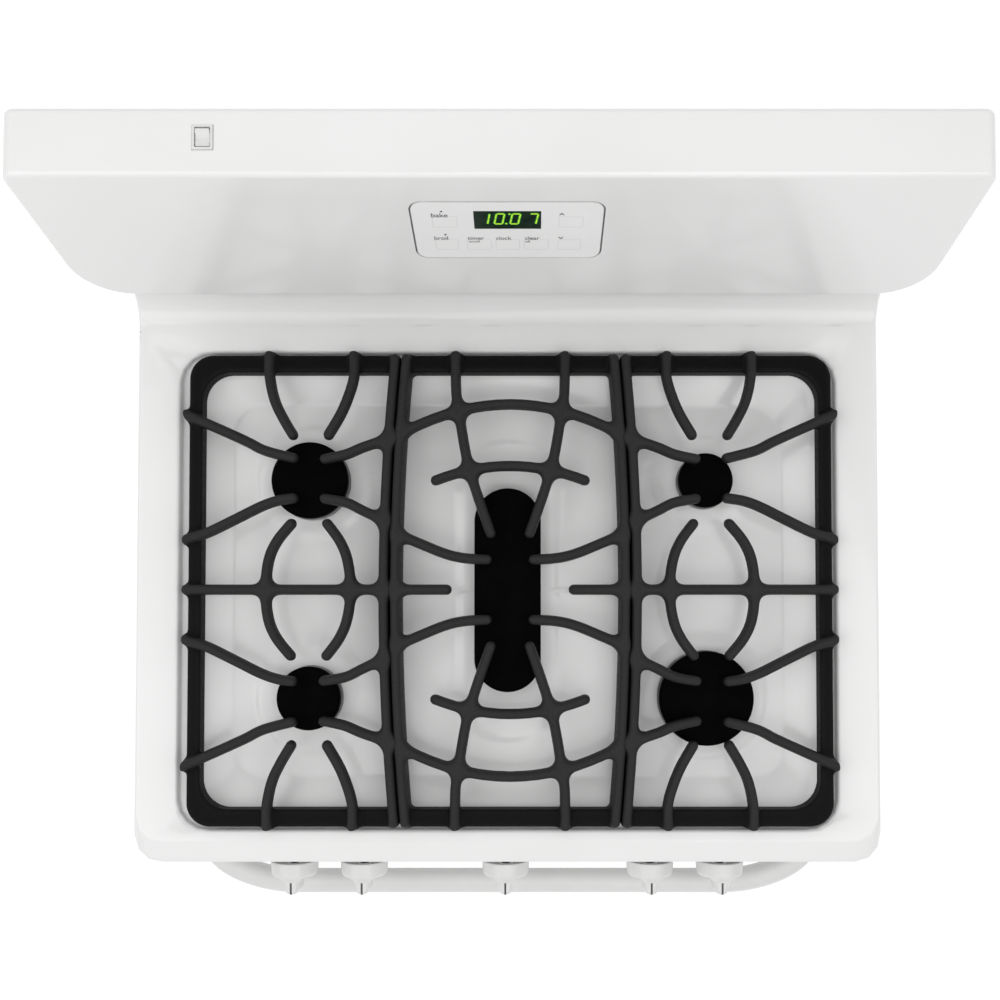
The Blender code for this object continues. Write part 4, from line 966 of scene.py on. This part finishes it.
def overlay():
    """Rounded keypad plate, sunk a hair into its groove, with an opening for the display."""
    plate = bevelled(face_prism(OVERLAY_ALONG, PANEL_X, (OVERLAY[0] - 0.0010, OVERLAY[1] - 0.0010), 0.0098,
                                -0.0022, 0.0024, 12), 0.0002, 1, [])
    mesh = finish_mesh(plate, "overlay_mesh", 30.0)
    grown = (DISPLAY[0] + 0.0003, DISPLAY[1] + 0.0003)
    hole = finish_mesh(face_prism(DISPLAY_ALONG, PANEL_X, grown, 0.0006, -0.006, 0.012, 3), "hole")
    mesh = boolean(mesh, [hole], "overlay_mesh", 30.0)
    piece("keypad_overlay", mesh, "range_body", "overlay_film", ["control_overlay"])
    groove = face_prism(OVERLAY_ALONG, PANEL_X, (OVERLAY[0] + 0.0019, OVERLAY[1] + 0.0019), 0.0109, -0.0030,
                        0.0006, 12)
    piece("keypad_groove", finish_mesh(groove, "groove_mesh"), "range_body", "overlay_film", look=SHADE)
    glass = bevelled(face_prism(DISPLAY_ALONG, PANEL_X, DISPLAY, 0.0005, -0.0018, 0.0018, 3), 0.00015, 2, [])
    mesh = finish_mesh(glass, "pane_mesh", 30.0)
    piece("display_pane", mesh, "range_body", "display_glass", ["display_window"])


def merged(bms, name, sharp=40.0):
    """Several closed shapes gathered in one mesh."""
    bm = bmesh.new()
    for part in bms:
        mesh = mesh_of(part, "part")
        bm.from_mesh(mesh)
        bpy.data.meshes.remove(mesh)
    return finish_mesh(bm, name, sharp)


def stroke(points, width, place, thickness=0.0001):
    """Flat printed bars along a line, one closed bar for each run."""
    made = []
    for (x0, y0), (x1, y1) in zip(points, points[1:]):
        run = Vector((x1 - x0, y1 - y0))
        side = Vector((-run.y, run.x)).normalized() * width / 2
        cap = run.normalized() * width * 0.35
        corners = [(x0 - cap.x + side.x, y0 - cap.y + side.y), (x0 - cap.x - side.x, y0 - cap.y - side.y),
                   (x1 + cap.x - side.x, y1 + cap.y - side.y), (x1 + cap.x + side.x, y1 + cap.y + side.y)]
        made.append(prism(corners, place, thickness))
    return made


SEGMENTS = {
    "a": ((0, 1), (1, 1)), "b": ((1, 1), (1, 0.5)), "c": ((1, 0.5), (1, 0)), "d": ((0, 0), (1, 0)),
    "e": ((0, 0), (0, 0.5)), "f": ((0, 0.5), (0, 1)), "g": ((0, 0.5), (1, 0.5)),
}
DIGITS = {"1": "bc", "0": "abcdef", "7": "abc"}


def display_digits():
    """The clock: slanted seven-segment digits and a colon, lit behind the glass."""
    width, height = 0.0065, 0.0131
    slant = 0.16
    bright, halo = [], []
    place = on_face(DISPLAY_ALONG, PANEL_X, 0.00004)
    back = on_face(DISPLAY_ALONG, PANEL_X, 0.00001)
    for digit, left in (("1", -0.0217), ("0", -0.0097), ("0", 0.0031), ("7", 0.0174)):
        for segment in DIGITS[digit]:
            ends = [(left + x * width + (y - 0.5) * height * slant, 0.0015 + (y - 0.5) * height)
                    for x, y in SEGMENTS[segment]]
            start, end = Vector(ends[0]), Vector(ends[1])
            gap = (end - start).normalized() * 0.00085
            line = (tuple(start + gap), tuple(end - gap))
            bright += stroke(line, 0.00085, place, 0.00012)
            halo += stroke(line, 0.00215, back, 0.00008)
    for x, y in ((0.0018, 0.0077), (-0.0011, -0.0047)):
        bright += stroke(((x - 0.0002, y), (x + 0.0002, y)), 0.0010, place, 0.00012)
        halo += stroke(((x - 0.0004, y), (x + 0.0004, y)), 0.0022, back, 0.00008)
    piece("clock_digits", merged(bright, "digits_mesh"), "range_body", "display_glass", look=LIT)
    piece("clock_glow", merged(halo, "glow_mesh"), "range_body", "display_glass", look=HALO)


KEYS = (
    (-0.0458, 0.326, 0.0198), (0.0564, 0.326, 0.0194), (-0.0462, 0.522, 0.0188), (-0.0192, 0.522, 0.0201),
    (0.0046, 0.522, 0.0198), (0.0285, 0.522, 0.0198), (0.0561, 0.522, 0.0190),
)
LABELS = (
    ("bake", -0.0565, 0.286, 0.0073), ("broil", -0.0565, 0.478, 0.0064), ("timer", -0.0286, 0.478, 0.0062),
    ("clock", -0.0052, 0.478, 0.0060), ("clear", 0.0188, 0.478, 0.0062), ("on/off", -0.0278, 0.503, 0.0038),
    ("off", 0.0192, 0.503, 0.0038),
)


def lettering(words, x, along, size):
    """A generic key label as a flat printed mesh on the face."""
    curve = bpy.data.curves.new("label", "FONT")
    curve.body = words
    curve.size = size
    curve.extrude = 0.00003
    curve.offset = size * 0.008
    made = linked("label", curve)
    made.matrix_world = on_face(along, x, 0.00024)
    bpy.context.view_layer.update()
    mesh = bpy.data.meshes.new_from_object(made.evaluated_get(bpy.context.evaluated_depsgraph_get()))
    mesh.transform(made.matrix_world)
    bpy.data.objects.remove(made, do_unlink=True)
    bm = bmesh.new()
    bm.from_mesh(mesh)
    bpy.data.meshes.remove(mesh)
    bmesh.ops.remove_doubles(bm, verts=bm.verts, dist=0.000002)
    return bm


def printing():
    """Key outlines, generic labels, arrows and small marks, printed on the overlay."""
    dark = [lettering(*label) for label in LABELS]
    for along, sign in ((0.262, 1), (0.462, -1)):
        place = on_face(along, 0.0487, 0.0002)
        points = ((-0.0016, -0.0009 * sign), (0.0, 0.0011 * sign), (0.0016, -0.0009 * sign))
        dark += stroke(points, 0.0009, place, 0.00006)
    for x, along in ((-0.0477, 0.240), (-0.0466, 0.434)):
        dark.append(prism(stadium(0.0010, 0.0010001, 8), on_face(along, x, 0.0002), 0.00006))
    piece("key_labels", merged(dark, "labels_mesh"), "range_body", "overlay_film", look=INK)
    pale = []
    for x, along, width in KEYS:
        place = on_face(along, x, 0.0002)
        outline = rounded_outline(-width / 2, width / 2, -0.0068, 0.0068, 0.0009, 4)
        pale += stroke(outline + outline[:1], 0.00032, place, 0.00004)
    piece("key_outlines", merged(pale, "outlines_mesh"), "range_body", "overlay_film", look=PALE_INK)


def light_switch():
    """Oven lamp switch on the console's top: a framed bezel and a dished rocker."""
    x, y = -0.2248, 0.327
    bm = box_form((x - 0.0080, y - 0.0095, TOP_Z - 0.022), (x + 0.0080, y + 0.0095, TOP_Z + 0.0012))
    mesh = finish_mesh(bevelled(bm, 0.0007, 3), "bezel_mesh", 50.0)
    well = box_form((x - 0.0061, y - 0.0077, TOP_Z - 0.016), (x + 0.0061, y + 0.0077, TOP_Z + 0.01))
    mesh = boolean(mesh, [finish_mesh(bevelled(well, 0.0008, 2), "well")], "bezel_mesh", 50.0)
    piece("switch_bezel", mesh, "range_body", "knob_plastic", ["light_switch_housing"])
    pivot = Vector((x, y, TOP_Z - 0.002))
    outline = [(-0.0066, 0.0036), (-0.0048, 0.0026), (-0.0024, 0.0018), (0.0, 0.0014), (0.0024, 0.0018)]
    outline += [(0.0048, 0.0026), (0.0066, 0.0036), (0.0058, -0.0010), (0.0020, -0.0055), (-0.0020, -0.0055)]
    outline += [(-0.0058, -0.0010)]
    turn = Matrix.Rotation(math.radians(7), 2)
    flat = [turn @ Vector(point) for point in outline]
    rings = [[pivot + Vector((side, point.x, point.y)) for point in flat] for side in (-0.0055, 0.0055)]
    bm = bevelled(lofted(rings), 0.0005, 3)
    mesh = finish_mesh(bm, "rocker_mesh", 50.0)
    piece("switch_rocker", mesh, "rocker", "knob_plastic", ["light_switch_rocker"])


# ---------------------------------------------------------------- knobs, handle, door, drawer

KNOB_DEPTH = 0.0337


def knob_field(centre_x):
    """Hollow skirt, hub and an upright blade that grows out of the skirt's front."""
    def field(x, y, z):
        across, up, out = x - centre_x, z - KNOB_Z, KNOB_BACK - y
        radial = np.hypot(across, up)
        cone = radial - (0.0252 - 0.08 * out)
        skirt = soft_max(cone, out - 0.0160 - 0.0006 * (1 - (radial / 0.024) ** 2), 0.0045)
        width = 0.0081 - 0.13 * np.maximum(out - 0.018, -0.006)
        blade = soft_max(np.abs(across) - width, np.abs(up) - (0.0200 - 0.03 * out), 0.006)
        blade = soft_max(blade, out - KNOB_DEPTH, 0.0045)
        whole = soft_min(skirt, blade, 0.0068)
        whole = soft_max(whole, -out, 0.001)
        hollow = np.maximum(radial - (0.0230 - 0.24 * out), out - 0.0112)
        hub = np.maximum(radial - 0.0078, 0.0030 - out)
        hollow = soft_max(hollow, -hub, 0.0015)
        bore = np.maximum(radial - 0.0046, out - 0.0165)
        return np.maximum(np.maximum(whole, -hollow), -bore)
    return field


def knob(name):
    low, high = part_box("knob_" + name)
    centre_x = (low.x + high.x) / 2
    field = knob_field(centre_x)
    corner = (centre_x - 0.0275, KNOB_BACK - 0.0355, KNOB_Z - 0.0275)
    far_corner = (centre_x + 0.0275, KNOB_BACK + 0.0016, KNOB_Z + 0.0275)
    mesh = sculpt("knob_mesh_" + name, corner, far_corner, 0.00065, field, 3)
    body = "knob_" + name
    piece("moulded_knob_" + name, mesh, body, "knob_plastic", [body])
    heights = np.linspace(0.030, 0.0, 1201)
    ring_sets = []
    for step in range(15):
        out = 0.0205 + 0.0125 * step / 14
        solid = field(centre_x + 0 * heights, KNOB_BACK - out + 0 * heights, KNOB_Z + heights) < 0
        top = KNOB_Z + heights[np.argmax(solid)] + 0.00012
        y = KNOB_BACK - out - 0.0001
        ring_sets.append([(centre_x - 0.0010, y, top), (centre_x + 0.0010, y, top),
                          (centre_x + 0.0010, y, top - 0.0009), (centre_x - 0.0010, y, top - 0.0009)])
    mark = finish_mesh(lofted(ring_sets), "mark_mesh_" + name)
    piece("knob_mark_" + name, mark, body, "knob_plastic", look=INK)


def door_handle():
    """Bow handle: an oval bar that sweeps back into the door at both ends."""
    low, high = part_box("door_handle")
    centre_y, z = low.y + 0.013, (low.z + high.z) / 2
    door_y = -0.2903
    knots = ((-0.339, door_y), (-0.240, centre_y), (0.240, centre_y), (0.339, door_y))
    reaches = ((0.0, -0.026), (0.050, 0.0), (0.050, 0.0), (0.0, 0.026))
    path = []
    for index in range(3):
        (x0, y0), (x3, y3) = knots[index], knots[index + 1]
        x1, y1 = x0 + reaches[index][0], y0 + reaches[index][1]
        x2, y2 = x3 - reaches[index + 1][0], y3 - reaches[index + 1][1]
        for step in range(24):
            t = step / 24
            s = 1 - t
            path.append((s ** 3 * x0 + 3 * s * s * t * x1 + 3 * s * t * t * x2 + t ** 3 * x3,
                         s ** 3 * y0 + 3 * s * s * t * y1 + 3 * s * t * t * y2 + t ** 3 * y3, z))
    path.append((*knots[-1], z))
    bm = swept(path, superellipse(0.0130, 0.0150, 2.5, 32))
    # The handle is white; its light grey finish is painted shade.
    piece("bow_handle", finish_mesh(bm, "handle_mesh", 50.0), "door", "knob_plastic", ["door_handle"])


def pressed_front(node, name, body, radius, holes=()):
    """A panel pressed with a soft rim, open behind, made to the size of its CAD node."""
    low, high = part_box(node)
    bm = box_form(low, high)
    rear = [face for face in bm.faces if face.normal.y > 0.9]
    bmesh.ops.delete(bm, geom=rear, context="FACES")
    bevelled(bm, radius, 6, [edge for edge in bm.edges if not edge.is_boundary])
    mesh = thickened(bm, name + "_mesh", 0.0012, 40.0)
    if holes:
        mesh = boolean(mesh, list(holes), name + "_mesh", 40.0)
    piece(name, mesh, body, "white_enamel", [node])


def fronts():
    """Door skin, drawer front and valve panel."""
    hinge_x = 0.345
    cuts = [plain_box((-0.250, -0.31, 0.385), (0.250, -0.27, 0.650))]
    for sign in (-1, 1):
        cuts.append(plain_box((sign * hinge_x - 0.004, -0.273, 0.20), (sign * hinge_x + 0.004, -0.25, 0.255)))
    pressed_front("door_outer_panel", "door_skin", "door", 0.006, cuts)
    pressed_front("drawer_front", "drawer_skin", "drawer", 0.006)
    bores = []
    for name in KNOBS:
        low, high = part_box("valve_stem_" + name)
        tool = cylinder_tool((0, 0, 0), 0.0055, 0.04, 32)
        place = Matrix.Translation(((low.x + high.x) / 2, -0.284, KNOB_Z))
        tool.transform(place @ Matrix.Rotation(math.pi / 2, 4, "X"))
        bores.append(tool)
    pressed_front("valve_panel", "valve_fascia", "range_body", 0.004, bores)


CARRIED = {
    "white_enamel": (0.0012, ("side_panel_left", "side_panel_right", "backguard_riser")),
    "zinc_steel": (0.0004, ("back_panel", "base_pan", "rear_cover", "drawer_box", "bake_burner",
                            "broil_burner", "gas_manifold", "door_hinge_left", "door_hinge_right")),
    "oven_enamel": (0.0004, ("oven_liner", "oven_floor_panel", "door_liner")),
    "burner_aluminium": (0.0006, ("pressure_regulator",)),
    "stem_steel": (0.0003, tuple("valve_stem_" + name for name in KNOBS)),
    "leg_steel": (0.0006, ("levelling_leg_front_left", "levelling_leg_front_right", "levelling_leg_rear_left",
                           "levelling_leg_rear_right")),
    "rack_chrome": (0.0, ("oven_rack_lower", "oven_rack_upper")),
    "door_glass": (0.0006, ("door_outer_glass", "door_inner_glass")),
    "lamp_glass": (0.0, ("oven_lamp",)),
    "circuit_board": (0.0002, ("control_board",)),
    "seal": (0.0, ("door_gasket",)),
}


def carry_over():
    """CAD nodes whose shape is right: their finish, and a fine rounding of their edges."""
    for slot, (width, names) in CARRIED.items():
        for name in names:
            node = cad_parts[name]
            node.data.materials.clear()
            node.data.materials.append(LOOKS[slot])
            weld = node.modifiers.new("weld", "WELD")
            weld.merge_threshold = 0.00001
            if width:
                bevel = node.modifiers.new("edges", "BEVEL")
                bevel.width = width
                bevel.segments = 2
                bevel.limit_method = "ANGLE"
                bevel.angle_limit = math.radians(35)
                bevel.harden_normals = True
            node.data.shade_smooth()


# ---------------------------------------------------------------- stage

def stage():
    bm = bmesh.new()
    bmesh.ops.create_grid(bm, x_segments=2, y_segments=2, size=6.0)
    mesh = mesh_of(bm, "floor")
    floor = linked("floor", mesh)
    floor.location.z = -0.0005
    material, tree, shader = new_material("floor", Roughness=0.9, Emission_Strength=0.92)
    shader.inputs["Base Color"].default_value = (0.15, 0.15, 0.15, 1)
    shader.inputs["Emission Color"].default_value = (1, 1, 1, 1)
    mesh.materials.append(material)


def area_light(name, place, aim, size, power):
    data = bpy.data.lights.new(name, "AREA")
    data.shape = "RECTANGLE"
    data.size, data.size_y = size
    data.energy = power
    made = linked(name, data)
    made.location = place
    made.rotation_euler = (Vector(aim) - Vector(place)).to_track_quat("-Z", "Y").to_euler()


SKY = (
    (0.00, grey(0.74)),
    (0.30, grey(0.88)),
    (0.60, grey(0.98)),
    (0.88, grey(1.00)),
    (0.95, grey(0.40)),
    (0.99, grey(0.12)),
)


def lighting():
    world = bpy.data.worlds.new("studio")
    bpy.context.scene.world = world
    world.use_nodes = True
    background = world.node_tree.nodes["Background"]
    tree = world.node_tree
    direction = tree.nodes.new("ShaderNodeTexCoord")
    parts = tree.nodes.new("ShaderNodeSeparateXYZ")
    tree.links.new(direction.outputs["Generated"], parts.inputs["Vector"])
    sky = ramp(tree, parts.outputs["Z"], SKY)
    tree.links.new(sky, background.inputs["Color"])
    background.inputs["Strength"].default_value = 0.86
    area_light("key", (0.5, -0.5, 3.0), (0, 0, 0.95), (1.6, 1.6), 11.0)
    area_light("fill", (-1.2, -0.2, 2.8), (0, 0, 0.95), (1.6, 1.6), 9.0)
    bpy.context.scene.view_settings.view_transform = "Standard"


def camera():
    data = bpy.data.cameras.new("camera")
    data.sensor_width = 36.0
    data.lens = 37.61
    data.shift_x = -0.0315
    data.shift_y = 0.0825
    data.dof.use_dof = False
    made = linked("camera", data)
    made.location = (0.0244, -0.0316, 1.9756)
    made.rotation_euler.x = math.radians(1.571)
    bpy.context.scene.camera = made


def build():
    stage()
    lighting()
    camera()
    side_grate("left", -1)
    side_grate("right", 1)
    middle_grate()
    cooktop()
    for burner in BURNERS:
        round_burner(*burner)
    oval_burner()
    console()
    overlay()
    display_digits()
    printing()
    light_switch()
    for name in KNOBS:
        knob(name)
    door_handle()
    fronts()
    carry_over()


build()
bpy.context.view_layer.update()
